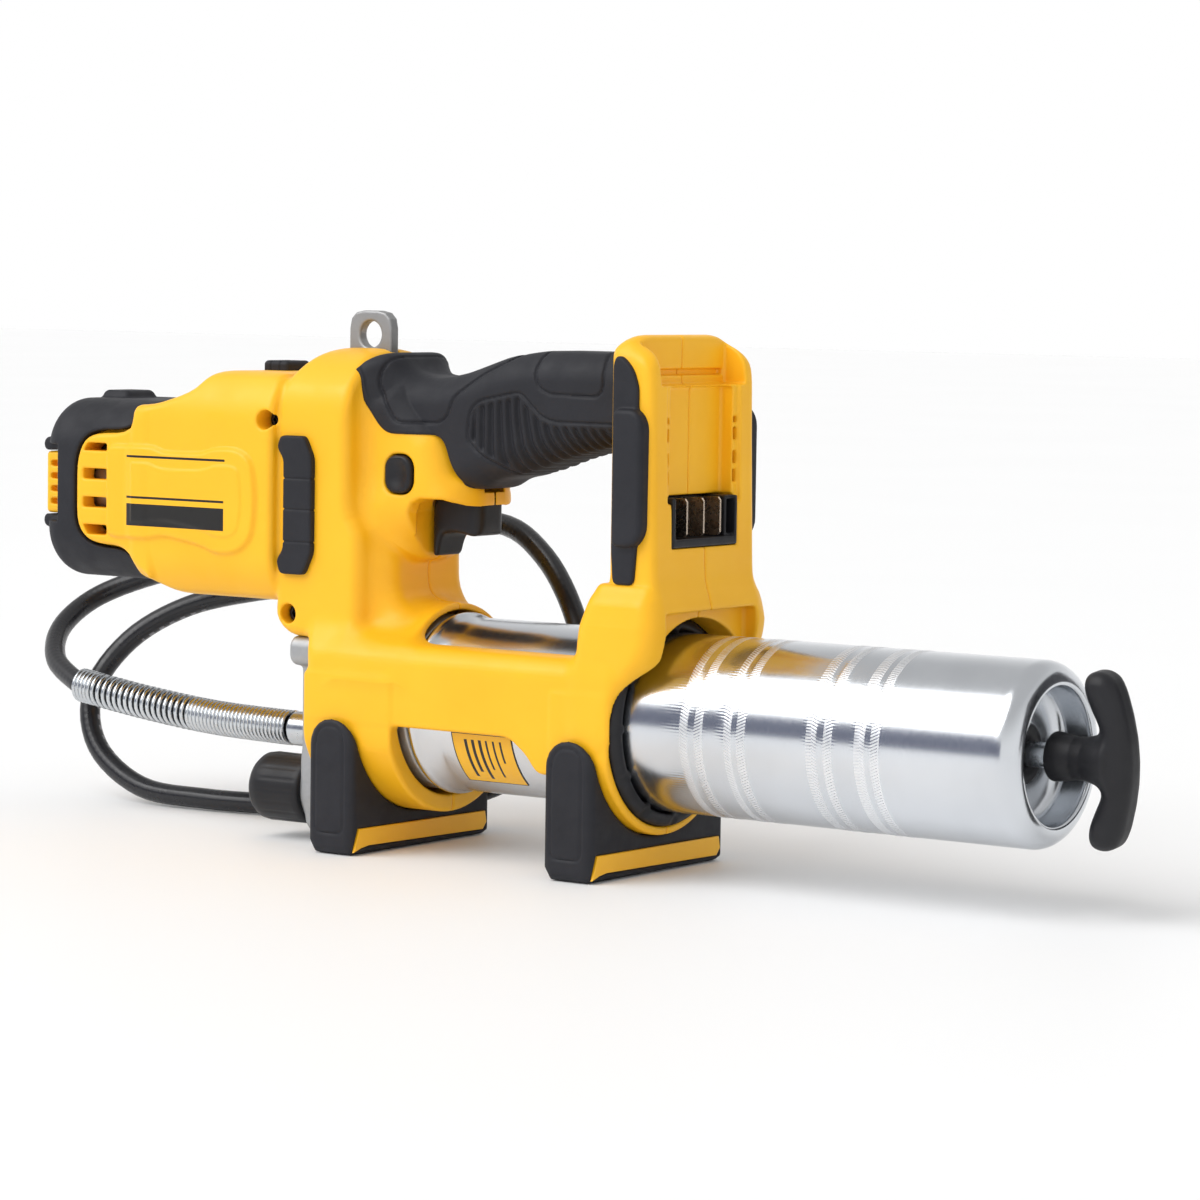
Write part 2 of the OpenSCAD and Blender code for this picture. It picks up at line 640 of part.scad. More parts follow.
module spring_guard() color("silver") tube(smooth_route(GUARD_ROUTE, 3), guard_d / 2, 12);

module hose() color("dimgray") tube(smooth_route(HOSE_ROUTE, 2), hose_d / 2, 10);

module hose_coupler() color("silver") translate([coupler_x, coupler_y, coupler_z]) {
  difference() {
    union() {
      cylinder(h = 30, r = coupler_r);
      translate([0, 0, 29]) cylinder(h = 9, r = 5);
    }
    translate([0, 0, 38 - mouth_depth]) cylinder(h = mouth_depth + 1, r = nipple_r);
  }
}

module hose_clip() color("dimgray") translate([0, 0, 141]) difference() {
  union() {
    block([-94, column_w + eps, 0], [-74, 33.5, 11]);
    translate([coupler_x, coupler_y, 0]) cylinder(h = 11, r = coupler_r + 2.2);
  }
  translate([coupler_x, coupler_y, -1]) cylinder(h = 20, r = coupler_r + 0.1);
  block([-100, coupler_y + 2.5, -1], [-70, 60, 20]);
}

housing_left();
housing_right();
front_bumper();
vent_panel();
top_pad();
grip_overmold();
side_pads();
column_bumpers();
front_foot();
rear_foot();
foot_stripes();
hanging_lug();
terminal_block();
terminal_blades();
barrel_collar();
barrel_label();
housing_screws();
motor_can();
motor_bearings();
rotor();
cooling_fan();
sun_gear();
ring_gear();
planet_gear_1();
planet_gear_2();
planet_gear_3();
crank();
crank_bearing();
pump_piston();
pump_head();
vent_knob();
check_ball();
check_spring();
barrel();
barrel_seal();
rod_bush();
follower();
follower_spring();
follower_rod();
t_handle();
trigger();
trigger_switch();
lock_button();
control_board();
wires();
hose_fitting();
spring_guard();
hose();
hose_coupler();
hose_clip();
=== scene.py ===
"""The looks of a cordless grease gun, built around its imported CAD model.

Shapes are in millimetres in the model's own frame, and become metres when a mesh is made:
+X runs to the rear, out of the T-handle, +Z is up, and Y = 0 is the tool's mid-plane.
"""
import json
import math

import bpy
import numpy as np
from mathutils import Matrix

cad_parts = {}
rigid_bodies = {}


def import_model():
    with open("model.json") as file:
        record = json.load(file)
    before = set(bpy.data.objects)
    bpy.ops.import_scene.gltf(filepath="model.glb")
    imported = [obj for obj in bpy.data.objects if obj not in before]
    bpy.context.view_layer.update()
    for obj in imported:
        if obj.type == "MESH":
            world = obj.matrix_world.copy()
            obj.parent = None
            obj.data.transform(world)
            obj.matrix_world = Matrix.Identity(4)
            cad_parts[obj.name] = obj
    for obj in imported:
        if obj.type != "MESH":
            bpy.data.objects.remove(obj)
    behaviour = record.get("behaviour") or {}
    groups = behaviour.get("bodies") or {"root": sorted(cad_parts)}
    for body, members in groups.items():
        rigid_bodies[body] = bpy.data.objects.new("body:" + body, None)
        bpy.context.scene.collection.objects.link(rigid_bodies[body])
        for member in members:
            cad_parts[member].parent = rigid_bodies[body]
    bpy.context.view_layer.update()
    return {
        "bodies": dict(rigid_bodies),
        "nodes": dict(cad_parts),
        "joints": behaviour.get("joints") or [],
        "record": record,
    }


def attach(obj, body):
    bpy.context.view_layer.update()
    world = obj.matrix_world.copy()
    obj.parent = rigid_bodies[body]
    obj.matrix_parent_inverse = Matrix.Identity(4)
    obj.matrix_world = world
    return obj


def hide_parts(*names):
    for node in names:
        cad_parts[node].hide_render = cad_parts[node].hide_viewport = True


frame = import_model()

import openvdb
from mathutils import Quaternion, Vector

MM = 0.001
MOTOR_Z = 117.0
AXIS_Z = 49.5
BARREL_R = 29.0
FINE = 1.0


# ---------- camera ----------

def add_camera():
    azimuth, elevation, roll = (math.radians(a) for a in (35.34, 4.48, 0.85))
    flat = math.cos(elevation)
    look = Vector((-math.sin(azimuth) * flat, math.cos(azimuth) * flat, -math.sin(elevation)))
    data = bpy.data.cameras.new("camera")
    data.sensor_width = 36.0
    data.lens = 122.5
    data.clip_end = 50.0
    camera = bpy.data.objects.new("camera", data)
    bpy.context.collection.objects.link(camera)
    camera.location = (0.7854, -1.0846, 0.1914)
    camera.rotation_mode = "QUATERNION"
    camera.rotation_quaternion = look.to_track_quat("-Z", "Y") @ Quaternion((0, 0, 1), roll)
    bpy.context.scene.camera = camera


# ---------- distances: negative inside a shape ----------

class Block:
    """A block of space, sampled on a grid."""

    def __init__(self, low, high, step):
        self.low = np.array(low, np.float32)
        self.step = step
        counts = [int(math.ceil((b - a) / step)) + 1 for a, b in zip(low, high)]
        along = [a + step * np.arange(n, dtype=np.float32) for a, n in zip(low, counts)]
        self.x = along[0][:, None, None]
        self.y = along[1][None, :, None]
        self.z = along[2][None, None, :]


def both(a, b, rounding=0.0):
    """Where a and b overlap, with the edge between them rounded."""
    a, b = a + rounding, b + rounding
    inner = np.minimum(np.maximum(a, b), 0)
    return inner + np.hypot(np.maximum(a, 0), np.maximum(b, 0)) - rounding


def join(a, b, fillet=0.0):
    if not fillet:
        return np.minimum(a, b)
    near = np.maximum(fillet - np.abs(a - b), 0)
    return np.minimum(a, b) - near * near / (4 * fillet)


def cut(a, b, fillet=0.0):
    return -join(-a, b, fillet)


def polygon(u, v, points):
    """Signed distance in a plane to a closed outline."""
    nearest, inside = None, False
    for (u0, v0), (u1, v1) in zip(points, points[1:] + points[:1]):
        du, dv = u1 - u0, v1 - v0
        if math.hypot(du, dv) < 1e-4:
            continue
        wu, wv = u - u0, v - v0
        t = np.clip((wu * du + wv * dv) / (du * du + dv * dv), 0, 1)
        gap = (wu - du * t) ** 2 + (wv - dv * t) ** 2
        nearest = gap if nearest is None else np.minimum(nearest, gap)
        level = (v0 <= v) != (v1 <= v)
        inside = inside ^ (level & ((du * wv - dv * wu > 0) == (v1 > v0)))
    return np.where(inside, -1, 1) * np.sqrt(nearest)


def line(u, v, points):
    """Distance in a plane to an open line."""
    nearest = None
    for (u0, v0), (u1, v1) in zip(points, points[1:]):
        du, dv = u1 - u0, v1 - v0
        if math.hypot(du, dv) < 1e-4:
            continue
        t = np.clip(((u - u0) * du + (v - v0) * dv) / (du * du + dv * dv), 0, 1)
        gap = np.hypot(u - u0 - du * t, v - v0 - dv * t)
        nearest = gap if nearest is None else np.minimum(nearest, gap)
    return nearest


def rounded(points, reach, steps=4):
    """The same outline with each corner replaced by a short curve."""
    out = []
    for i, p in enumerate(points):
        p = np.array(p, float)
        before = np.array(points[i - 1], float) - p
        after = np.array(points[(i + 1) % len(points)], float) - p
        a = p + before * min(reach / np.linalg.norm(before), 0.5)
        b = p + after * min(reach / np.linalg.norm(after), 0.5)
        for t in np.linspace(0, 1, steps):
            out.append(tuple((1 - t) ** 2 * a + 2 * t * (1 - t) * p + t * t * b))
    return out


def rectangle(u, v, centre, size, corner=0.0):
    return both(np.abs(u - centre[0]) - size[0] / 2, np.abs(v - centre[1]) - size[1] / 2, corner)


def slab(s, points, half, edge=0.5, corner=0.0):
    """A side outline in X-Z, with thickness across the tool, half each side of the mid-plane."""
    outline = polygon(s.x, s.z, rounded(points, corner) if corner else points)
    return both(outline, np.abs(s.y) - half, edge)


def along_x(s, flat, x0, x1, edge=0.5):
    """A cross-section in Y-Z swept from x0 to x1."""
    return both(flat, np.abs(s.x - (x0 + x1) / 2) - (x1 - x0) / 2, edge)


def rod_x(s, x0, x1, r, y=0.0, z=0.0, edge=0.3):
    return along_x(s, np.hypot(s.y - y, s.z - z) - r, x0, x1, edge)


def rod_y(s, y0, y1, r, x, z, edge=0.3):
    flat = np.hypot(s.x - x, s.z - z) - r
    return both(flat, np.abs(s.y - (y0 + y1) / 2) - (y1 - y0) / 2, edge)


def cuboid(s, low, high, edge=0.3):
    sides = [np.abs(c - (a + b) / 2) - (b - a) / 2 for c, a, b in zip((s.x, s.y, s.z), low, high)]
    return both(both(sides[0], sides[1], edge), sides[2], edge)


def groove(shape, flat, width, depth):
    """Scores the surface of shape wherever flat, a distance to a line, is under half the width."""
    profile = np.clip(1 - flat / (width / 2), 0, 1)
    return shape + depth * np.sqrt(profile)


def swell(shape, outline, height, soft):
    """Raises the surface of shape inside an outline, with a soft step at its border."""
    t = np.clip(-outline / soft, 0, 1)
    return shape - height * t * t * (3 - 2 * t)


# ---------- meshes ----------

def new_object(name, points, faces, smooth=True):
    """A mesh object from points in millimetres."""
    mesh = bpy.data.meshes.new(name)
    mesh.from_pydata((np.asarray(points, float) * MM).tolist(), [], faces)
    mesh.update()
    if smooth:
        mesh.shade_smooth()
    obj = bpy.data.objects.new(name, mesh)
    bpy.context.collection.objects.link(obj)
    return obj


def solid(name, s, distance):
    """A mesh of the surface where distance is zero."""
    grid = openvdb.FloatGrid(3.0)
    grid.copyFromArray(np.ascontiguousarray(np.clip(distance / s.step, -3, 3), np.float32))
    points, quads = grid.convertToQuads(0.0)
    faces = quads[:, ::-1].astype(np.int32)
    mesh = bpy.data.meshes.new(name)
    mesh.vertices.add(len(points))
    places = (points * s.step + s.low) * MM
    mesh.vertices.foreach_set("co", places.astype(np.float32).ravel())
    mesh.loops.add(faces.size)
    mesh.loops.foreach_set("vertex_index", faces.ravel())
    mesh.polygons.add(len(faces))
    mesh.polygons.foreach_set("loop_start", np.arange(0, faces.size, 4, dtype=np.int32))
    mesh.update(calc_edges=True)
    mesh.validate()
    mesh.shade_smooth()
    obj = bpy.data.objects.new(name, mesh)
    bpy.context.collection.objects.link(obj)
    return obj


def lathe(name, profile, y=0.0, z=0.0, turns=160, ripple=None):
    """Revolves [x, radius] points about an axis along X. ripple(x, angle) lifts the surface."""
    points, faces = [], []
    for x, r in profile:
        for k in range(turns):
            a = 2 * math.pi * k / turns
            lift = ripple(x, a) if ripple and r > 0.01 else 0.0
            points.append((x, y + (r + lift) * math.cos(a), z + (r + lift) * math.sin(a)))
    for i in range(len(profile) - 1):
        for k in range(turns):
            j = (k + 1) % turns
            faces.append((i * turns + k, (i + 1) * turns + k, (i + 1) * turns + j, i * turns + j))
    return new_object(name, points, faces)


def smooth_route(points, steps):
    """A Catmull-Rom curve through the points, as part.scad draws it."""
    p = np.array(points, float)
    p = np.vstack([p[:1], p, p[-1:]])
    out = []
    for i in range(1, len(p) - 2):
        a, b, c, d = p[i - 1:i + 3]
        for t in np.arange(steps) / steps:
            out.append(0.5 * (2 * b + (c - a) * t + (2 * a - 5 * b + 4 * c - d) * t * t
                              + (3 * b - a - 3 * c + d) * t ** 3))
    return np.array(out + [p[-2]])


def frames_along(route):
    """Tangent, side and up at each point of a route, carried along it without twist."""
    tangents = np.gradient(route, axis=0)
    tangents /= np.linalg.norm(tangents, axis=1)[:, None]
    side, sides = np.array([0.0, 0.0, 1.0]), []
    for t in tangents:
        side = side - (side @ t) * t
        side = side / np.linalg.norm(side)
        sides.append(side)
    sides = np.array(sides)
    return tangents, sides, np.cross(tangents, sides)


def tube(name, route, radius, sides=16):
    """A closed tube along a route. Its UV map holds the distance along it in metres."""
    _, across, up = frames_along(route)
    run = np.concatenate([[0], np.cumsum(np.linalg.norm(np.diff(route, axis=0), axis=1))])
    points, faces = [], []
    for p, a, b in zip(route, across, up):
        for k in range(sides):
            t = 2 * math.pi * k / sides
            points.append(p + radius * (math.cos(t) * a + math.sin(t) * b))
    last = len(route) - 1
    for i in range(last):
        for k in range(sides):
            j = (k + 1) % sides
            faces.append((i * sides + k, i * sides + j, (i + 1) * sides + j, (i + 1) * sides + k))
    faces.append(tuple(range(sides))[::-1])
    faces.append(tuple(last * sides + k for k in range(sides)))
    obj = new_object(name, points, faces)
    uv = obj.data.uv_layers.new(name="run")
    for face in obj.data.polygons:
        for corner, vertex in zip(face.loop_indices, face.vertices):
            k = vertex % sides
            wraps = k == 0 and any(v % sides == sides - 1 for v in face.vertices)
            uv.data[corner].uv = (run[vertex // sides] * MM, (sides if wraps else k) / sides)
    return obj


# ---------- materials ----------

class Paint:
    """A node material, built up step by step round one Principled shader."""

    def __init__(self, name, color, roughness, metallic=0.0):
        self.material = bpy.data.materials.new(name)
        self.material.use_nodes = True
        self.nodes = self.material.node_tree.nodes
        self.links = self.material.node_tree.links
        self.shader = self.nodes["Principled BSDF"]
        self.shader.inputs["Base Color"].default_value = (*color, 1)
        self.shader.inputs["Roughness"].default_value = roughness
        self.shader.inputs["Metallic"].default_value = metallic
        self.place = self.nodes.new("ShaderNodeTexCoord").outputs["Object"]
        self.normal = None

    def noise(self, scale, detail=3.0, stretch=None, roughness=0.5):
        texture = self.nodes.new("ShaderNodeTexNoise")
        texture.inputs["Scale"].default_value = scale
        texture.inputs["Detail"].default_value = detail
        texture.inputs["Roughness"].default_value = roughness
        source = self.place
        if stretch:
            mapping = self.nodes.new("ShaderNodeMapping")
            mapping.inputs["Scale"].default_value = stretch
            self.links.new(source, mapping.inputs["Vector"])
            source = mapping.outputs["Vector"]
        self.links.new(source, texture.inputs["Vector"])
        return texture.outputs["Fac"]

    def span(self, value, low, high, start=0.3, end=0.7):
        """value between start and end, spread between low and high."""
        node = self.nodes.new("ShaderNodeMapRange")
        for name, number in (("From Min", start), ("From Max", end), ("To Min", low), ("To Max", high)):
            node.inputs[name].default_value = number
        self.links.new(value, node.inputs["Value"])
        return node.outputs["Result"]

    def blend(self, value, first, second):
        node = self.nodes.new("ShaderNodeMix")
        node.data_type = "RGBA"
        node.inputs["A"].default_value = (*first, 1)
        node.inputs["B"].default_value = (*second, 1)
        self.links.new(value, node.inputs["Factor"])
        return node.outputs["Result"]

    def set(self, name, value):
        self.links.new(value, self.shader.inputs[name])

    def math(self, operation, *values):
        node = self.nodes.new("ShaderNodeMath")
        node.operation = operation
        for socket, value in zip(node.inputs, values):
            if isinstance(value, (int, float)):
                socket.default_value = value
            else:
                self.links.new(value, socket)
        return node.outputs[0]

    def bump(self, height, depth_mm, strength=1.0):
        node = self.nodes.new("ShaderNodeBump")
        node.inputs["Distance"].default_value = depth_mm * MM
        node.inputs["Strength"].default_value = strength
        self.links.new(height, node.inputs["Height"])
        if self.normal:
            self.links.new(self.normal, node.inputs["Normal"])
        self.normal = node.outputs["Normal"]
        self.links.new(self.normal, self.shader.inputs["Normal"])


def moulded(name, color, dark, roughness, grain=900.0, depth=0.03, sheen=0.5):
    """Moulded plastic: fine spark-eroded grain, faint mottling and soft wear in the gloss."""
    paint = Paint(name, color, roughness)
    paint.shader.inputs["Specular IOR Level"].default_value = sheen
    paint.set("Base Color", paint.blend(paint.span(paint.noise(35, 4), 0, 1), color, dark))
    paint.set("Roughness", paint.span(paint.noise(140, 5), roughness - 0.06, roughness + 0.08))
    paint.bump(paint.noise(grain, 2), depth)
    paint.bump(paint.noise(60, 2), 0.05, 0.4)
    return paint


def metal(name, color, roughness, spread=0.05, stretch=None, wave=0.0):
    """Bare or plated metal with fine drawn lines, smears in the gloss and a gentle waviness."""
    paint = Paint(name, color, roughness, 1.0)
    dull = tuple(0.86 * c for c in color)
    paint.set("Base Color", paint.blend(paint.span(paint.noise(25, 5), 0, 1), color, dull))
    fine = paint.noise(420, 3, stretch)
    paint.set("Roughness", paint.span(fine, roughness, roughness + spread))
    paint.bump(fine, 0.004, 0.5)
    if wave:
        paint.bump(paint.noise(9, 1), wave)
    return paint.material


def glossy_film(name, color, other, roughness):
    """Lacquered film or strip with a faint orange peel."""
    paint = Paint(name, color, roughness)
    paint.set("Base Color", paint.blend(paint.span(paint.noise(60, 3), 0, 1), color, other))
    paint.bump(paint.noise(300, 1), 0.02, 0.4)
    return paint.material


YELLOW = (0.955, 0.5, 0.012)
YELLOW_DEEP = (0.925, 0.465, 0.008)
BLACK = (0.012, 0.012, 0.015)
BLACK_DEEP = (0.009, 0.009, 0.011)
RUBBER = (0.016, 0.0165, 0.022)
RUBBER_DEEP = (0.012, 0.0125, 0.017)


def shell_paint():
    """Yellow plastic, with a plain black bar and two thin lines printed on the motor's near side."""
    paint = moulded("yellow_shell", YELLOW, YELLOW_DEEP, 0.42, 1100, 0.02, 0.4)
    split = paint.nodes.new("ShaderNodeSeparateXYZ")
    paint.links.new(paint.place, split.inputs["Vector"])
    x, y, z = split.outputs
    near = paint.math("LESS_THAN", y, -0.025)
    across = paint.math("COMPARE", x, -0.1377, 0.0222)
    print_mask = None
    for middle, half in ((0.1087, 0.0038), (0.1147, 0.0004), (0.1287, 0.0004)):
        line_mask = paint.math("COMPARE", z, middle, half)
        print_mask = paint.math("MAXIMUM", print_mask, line_mask) if print_mask else line_mask
    mask = paint.math("MULTIPLY", paint.math("MULTIPLY", near, across), print_mask)
    base = paint.shader.inputs["Base Color"].links[0].from_socket
    mix = paint.nodes.new("ShaderNodeMix")
    mix.data_type = "RGBA"
    paint.links.new(mask, mix.inputs["Factor"])
    paint.links.new(base, mix.inputs["A"])
    mix.inputs["B"].default_value = (0.012, 0.011, 0.01, 1)
    paint.set("Base Color", mix.outputs["Result"])
    return paint.material


def make_materials():
    zinc = (0.7, 0.725, 0.76)
    return {
        "yellow_shell": shell_paint(),
        "black_rubber": moulded("black_rubber", RUBBER, RUBBER_DEEP, 0.6, 800, 0.05, 0.35).material,
        "black_plastic": moulded("black_plastic", BLACK, BLACK_DEEP, 0.45, 1000, 0.03, 0.35).material,
        "bright_steel": metal("bright_steel", (0.66, 0.69, 0.72), 0.2, 0.1),
        "plain_steel": metal("plain_steel", (0.42, 0.42, 0.42), 0.5, 0.12),
        "screw_black": metal("screw_black", (0.05, 0.05, 0.055), 0.4, 0.1),
        "barrel_metal": metal("barrel_metal", zinc, 0.17, 0.06, (6, 1, 1), 0.04),
        "knurl": metal("knurl", (0.86, 0.87, 0.89), 0.32, 0.2),
        "cast_metal": metal("cast_metal", (0.5, 0.51, 0.52), 0.48, 0.16),
        "gear_steel": metal("gear_steel", (0.42, 0.42, 0.44), 0.3, 0.1),
        "motor_steel": metal("motor_steel", (0.35, 0.36, 0.38), 0.35, 0.1),
        "copper": metal("copper", (0.72, 0.36, 0.18), 0.3, 0.1),
        "blade_metal": metal("blade_metal", (0.85, 0.7, 0.55), 0.22, 0.1),
        "stripe_yellow": glossy_film("stripe_yellow", YELLOW, YELLOW_DEEP, 0.35),
        "label_film": glossy_film("label_film", (0.93, 0.5, 0.02), (0.9, 0.47, 0.015), 0.25),
        "seal_rubber": moulded("seal_rubber", (0.35, 0.04, 0.03), (0.3, 0.03, 0.02), 0.5).material,
        "board_green": moulded("board_green", (0.02, 0.16, 0.05), (0.015, 0.12, 0.04), 0.3).material,
        "wire_red": moulded("wire_red", (0.5, 0.02, 0.02), (0.42, 0.02, 0.02), 0.4).material,
        "hose_black": hose_rubber(),
        "ink": moulded("ink", (0.012, 0.011, 0.01), (0.016, 0.014, 0.012), 0.4).material,
    }


def hose_rubber():
    """Hose cover: braid showing faintly through smooth black rubber, with a row of pale ink dashes."""
    paint = Paint("hose_black", (0.012, 0.012, 0.015), 0.28)
    uv = paint.nodes.new("ShaderNodeUVMap")
    uv.uv_map = "run"
    split = paint.nodes.new("ShaderNodeSeparateXYZ")
    paint.links.new(uv.outputs["UV"], split.inputs["Vector"])
    run, turn = split.outputs["X"], split.outputs["Y"]
    step = paint.math("FRACT", paint.math("MULTIPLY", run, 210.0))
    group = paint.math("FRACT", paint.math("MULTIPLY", run, 17.0))
    dash = paint.math("MULTIPLY", paint.math("LESS_THAN", step, 0.45), paint.math("LESS_THAN", group, 0.5))
    ink = paint.math("MULTIPLY", paint.math("MULTIPLY", dash, paint.math("COMPARE", turn, 0.3, 0.035)), 0.35)
    paint.set("Base Color", paint.blend(ink, (0.012, 0.012, 0.015), (0.5, 0.5, 0.55)))
    paint.set("Roughness", paint.span(paint.noise(200, 4), 0.24, 0.38))
    braid = paint.math("ADD", paint.math("SINE", paint.math("MULTIPLY", run, 2600.0)),
                       paint.math("SINE", paint.math("MULTIPLY", turn, 88.0)))
    paint.bump(braid, 0.03, 0.35)
    return paint.material


def finish_piece(obj, body, slot, *nodes, look=None):
    """Gives a piece its material and body, and hides the CAD nodes it stands for."""
    obj.data.materials.clear()
    obj.data.materials.append(materials[look or slot])
    if nodes:
        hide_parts(*nodes)
    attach(obj, body)
    return obj


# ---------- hose and its guard ----------

GUARD_ROUTE = [(-114, 3, 35), (-150, 3, 36), (-185, 4, 39), (-217, 5, 43)]
HOSE_ROUTE = [
    (-217, 5, 43), (-236, 13, 50), (-247, 27, 60), (-246, 43, 70), (-232, 55, 78),
    (-205, 60, 85), (-160, 63, 94), (-115, 64, 102), (-72, 61, 106), (-46, 54, 96),
    (-28, 48, 76), (-22, 46, 54), (-34, 45, 32), (-56, 45, 17), (-84, 44, 8), (-112, 36, 4.5),
    (-140, 26, 4), (-170, 20, 4), (-200, 19, 6), (-222, 20, 19), (-229, 25, 38), (-220, 35, 57),
    (-200, 44, 70), (-172, 50, 77), (-141, 50, 81), (-113, 46, 88), (-93, 42, 100),
    (-85, 40, 112), (-84, 40, 120)]
HOSE_R = 3.75
WIRE_R = 0.85
GUARD_R = 6.2


def add_spring_guard():
    """A wire coil round the hose: close-wound at both ends, open between them."""
    route = smooth_route(GUARD_ROUTE, 40)
    tangents, across, up = frames_along(route)
    run = np.concatenate([[0], np.cumsum(np.linalg.norm(np.diff(route, axis=0), axis=1))])
    close, opened, total = 2 * WIRE_R + 0.04, 2.75, run[-1]
    points, distance, angle = [], WIRE_R, 0.0
    while distance < total - WIRE_R:
        open_part = 46 < distance < total - 10
        pitch = opened if open_part else close
        spot = [np.interp(distance, run, route[:, i]) for i in range(3)]
        a = np.array([np.interp(distance, run, across[:, i]) for i in range(3)])
        b = np.array([np.interp(distance, run, up[:, i]) for i in range(3)])
        reach = GUARD_R - WIRE_R
        points.append(np.array(spot) + reach * (math.cos(angle) * a + math.sin(angle) * b))
        angle += 2 * math.pi / 20
        distance += pitch / 20
    return tube("guard_coil", np.array(points), WIRE_R, 8)


def add_hose():
    route = np.vstack([smooth_route(GUARD_ROUTE, 6)[:-1], smooth_route(HOSE_ROUTE, 6)])
    hose = tube("hose_line", route, HOSE_R, 20)
    guard = add_spring_guard()
    coupler = add_coupler()
    finish_piece(guard, "tool_body", "bright_steel", "spring_guard")
    finish_piece(coupler, "tool_body", "bright_steel", "hose_coupler")
    finish_piece(hose, "tool_body", "hose_black", "hose")


def add_coupler():
    """Coupler on the hose's far end: a swaged ferrule, a hexagon and the jaws' sleeve."""
    x, y, z = -84.0, 40.0, 120.0
    s = Block((x - 9, y - 9, z - 2), (x + 9, y + 9, z + 40), 0.35 * FINE)
    round_part = np.hypot(s.x - x, s.y - y)
    ferrule = both(round_part - 6.2, np.abs(s.z - z - 8) - 8, 0.8)
    for k in range(5):
        ferrule = cut(ferrule, np.hypot(round_part - 6.6, s.z - z - 3 - 2.6 * k) - 0.8, 0.3)
    around = np.arctan2(s.y - y, s.x - x)
    flat = round_part * np.cos(np.mod(around, math.pi / 3) - math.pi / 6)
    hexagon = both(both(flat - 6.1, np.abs(s.z - z - 20) - 4.6, 0.4), round_part - 6.9, 0.3)
    sleeve = both(round_part - 6.4, np.abs(s.z - z - 27.5) - 3.2, 0.7)
    jaws = both(round_part - 5, np.abs(s.z - z - 30) - 8, 0.8)
    whole = join(join(ferrule, hexagon, 0.4), join(sleeve, jaws, 0.4), 0.4)
    mouth = both(round_part - 3.3, np.abs(s.z - z - 36) - 4, 0.1)
    return solid("coupler_body", s, cut(whole, mouth, 0.5))


# ---------- the yellow shell ----------

SIDE_PANEL = [
    (-186, 126.5), (-183, 133.5), (-178, 136.4), (-162, 137.2), (-155.5, 144.5), (-151, 147),
    (-150, 85), (-153.6, 87.6), (-159.4, 92), (-164, 96.6), (-176, 97), (-182, 99), (-186, 104.5)]
MOTOR_SIDE = [
    (-160, 87), (-160, 147), (-153, 147), (-146, 148.5), (-134.5, 152.5), (-131.5, 157.5),
    (-127, 159.5), (-96, 159.5), (-96, 81), (-145, 81), (-153, 85)]
COLUMN_SIDE = [
    (-98, 84), (-98, 152), (-95.5, 159.5), (-92.5, 165.5), (-88, 168.2), (-71, 168.2), (-67.5, 164),
    (-67, 112), (-62, 106), (-62, 60), (-80, 60), (-82, 71), (-92, 70), (-99, 76)]
NECK_SIDE = [(-80, 97), (-80, 125), (-52, 125), (-49.1, 118), (-49.1, 99.5), (-51, 97)]
HEAD_SIDE = [
    (-80, 105), (-80, 158), (-54, 158), (-46, 149), (-37, 140), (-33, 127), (-29, 121), (-29, 105)]
FLARE_SIDE = [
    (-80, 60), (-80, 112), (-66, 112), (-58, 105), (-54.5, 98), (-54.5, 88), (-51, 82), (-48, 79),
    (-48, 60)]
LIP_SIDE = [
    (-50, 125), (-29, 125), (-27, 122), (-26.2, 119), (-26.2, 116.5), (-27.5, 114.7), (-30, 115.4),
    (-33.5, 117.6), (-36, 118.3), (-50, 118.3)]
# the opening over the trigger, cut out of the head of the handle
ARCH = [
    (-49.1, 80), (-49.1, 113.6), (-47.4, 116.8), (-44, 118.3), (-36, 118.3), (-30, 116.4), (-20, 115),
    (-20, 80)]
BATTERY_SIDE = [
    (33, 83), (37, 100), (37, 166), (39, 171.5), (42.5, 175), (46.5, 175), (48.5, 172),
    (52, 169.8), (55.3, 166.3), (56.2, 160), (56.5, 140), (57.5, 100), (58.5, 83), (56, 70),
    (33, 70)]
SKIRT_SIDE = [
    (30, 60), (31, 78), (35, 92), (57.5, 92), (59, 83), (58, 75), (44.5, 56), (44.5, 44),
    (30, 44)]
BAR_SIDE = [
    (-80, 44), (-80, 78), (-66, 78), (-58, 73), (-46, 71.5), (24, 71.5), (32, 76),
    (44.5, 68), (44.5, 44), (22, 33), (16.5, 33), (12, 39), (5, 44)]
GRIP_SIDE = [
    (-71, 157), (-69, 163), (-64, 166.5), (-59, 166.5), (-56, 164), (-53, 160.5), (-47, 158.8),
    (-41, 158.8), (-32, 160.5), (-23, 163.5), (-14, 166.5), (0, 168.5), (36.5, 168.5),
    (36.5, 138.5), (28, 137.5), (20, 135.8), (7, 132.3), (-2, 129), (-11, 126.5), (-19, 125),
    (-24, 121.5), (-30, 122), (-33, 128), (-36, 137), (-39, 139.5), (-57, 139.5), (-61, 142),
    (-66, 150)]
HANDLE_SIDE = [
    (-80, 158), (-53, 159.5), (-47, 158.8), (-41, 158.8), (-32, 160.5), (-23, 163.5),
    (-14, 166.5), (0, 168.5), (50, 168.5), (50, 139), (36.5, 138.5), (28, 137.5), (20, 135.8),
    (7, 132.3), (-2, 129), (-11, 126.5), (-19, 125), (-24, 121.5), (-34, 121.5), (-50, 130),
    (-80, 140)]
CONTOUR = [
    (-171, 133), (-148, 133.4), (-144, 131.4), (-126, 131.6), (-121.5, 133.6), (-110, 133.9),
    (-103.3, 129.5), (-101.5, 116), (-103, 102.5), (-110, 96.4), (-121, 95.9), (-126, 98.3),
    (-144, 101), (-150, 99.5), (-171, 99.5)]
# screws: x, z, half width of the shell there, and the side they go in from
SCREWS = [(-100, 143, 30, -1), (-92, 78, 29, -1), (-77, 143.5, 29, 1), (47, 88, 34, 1)]


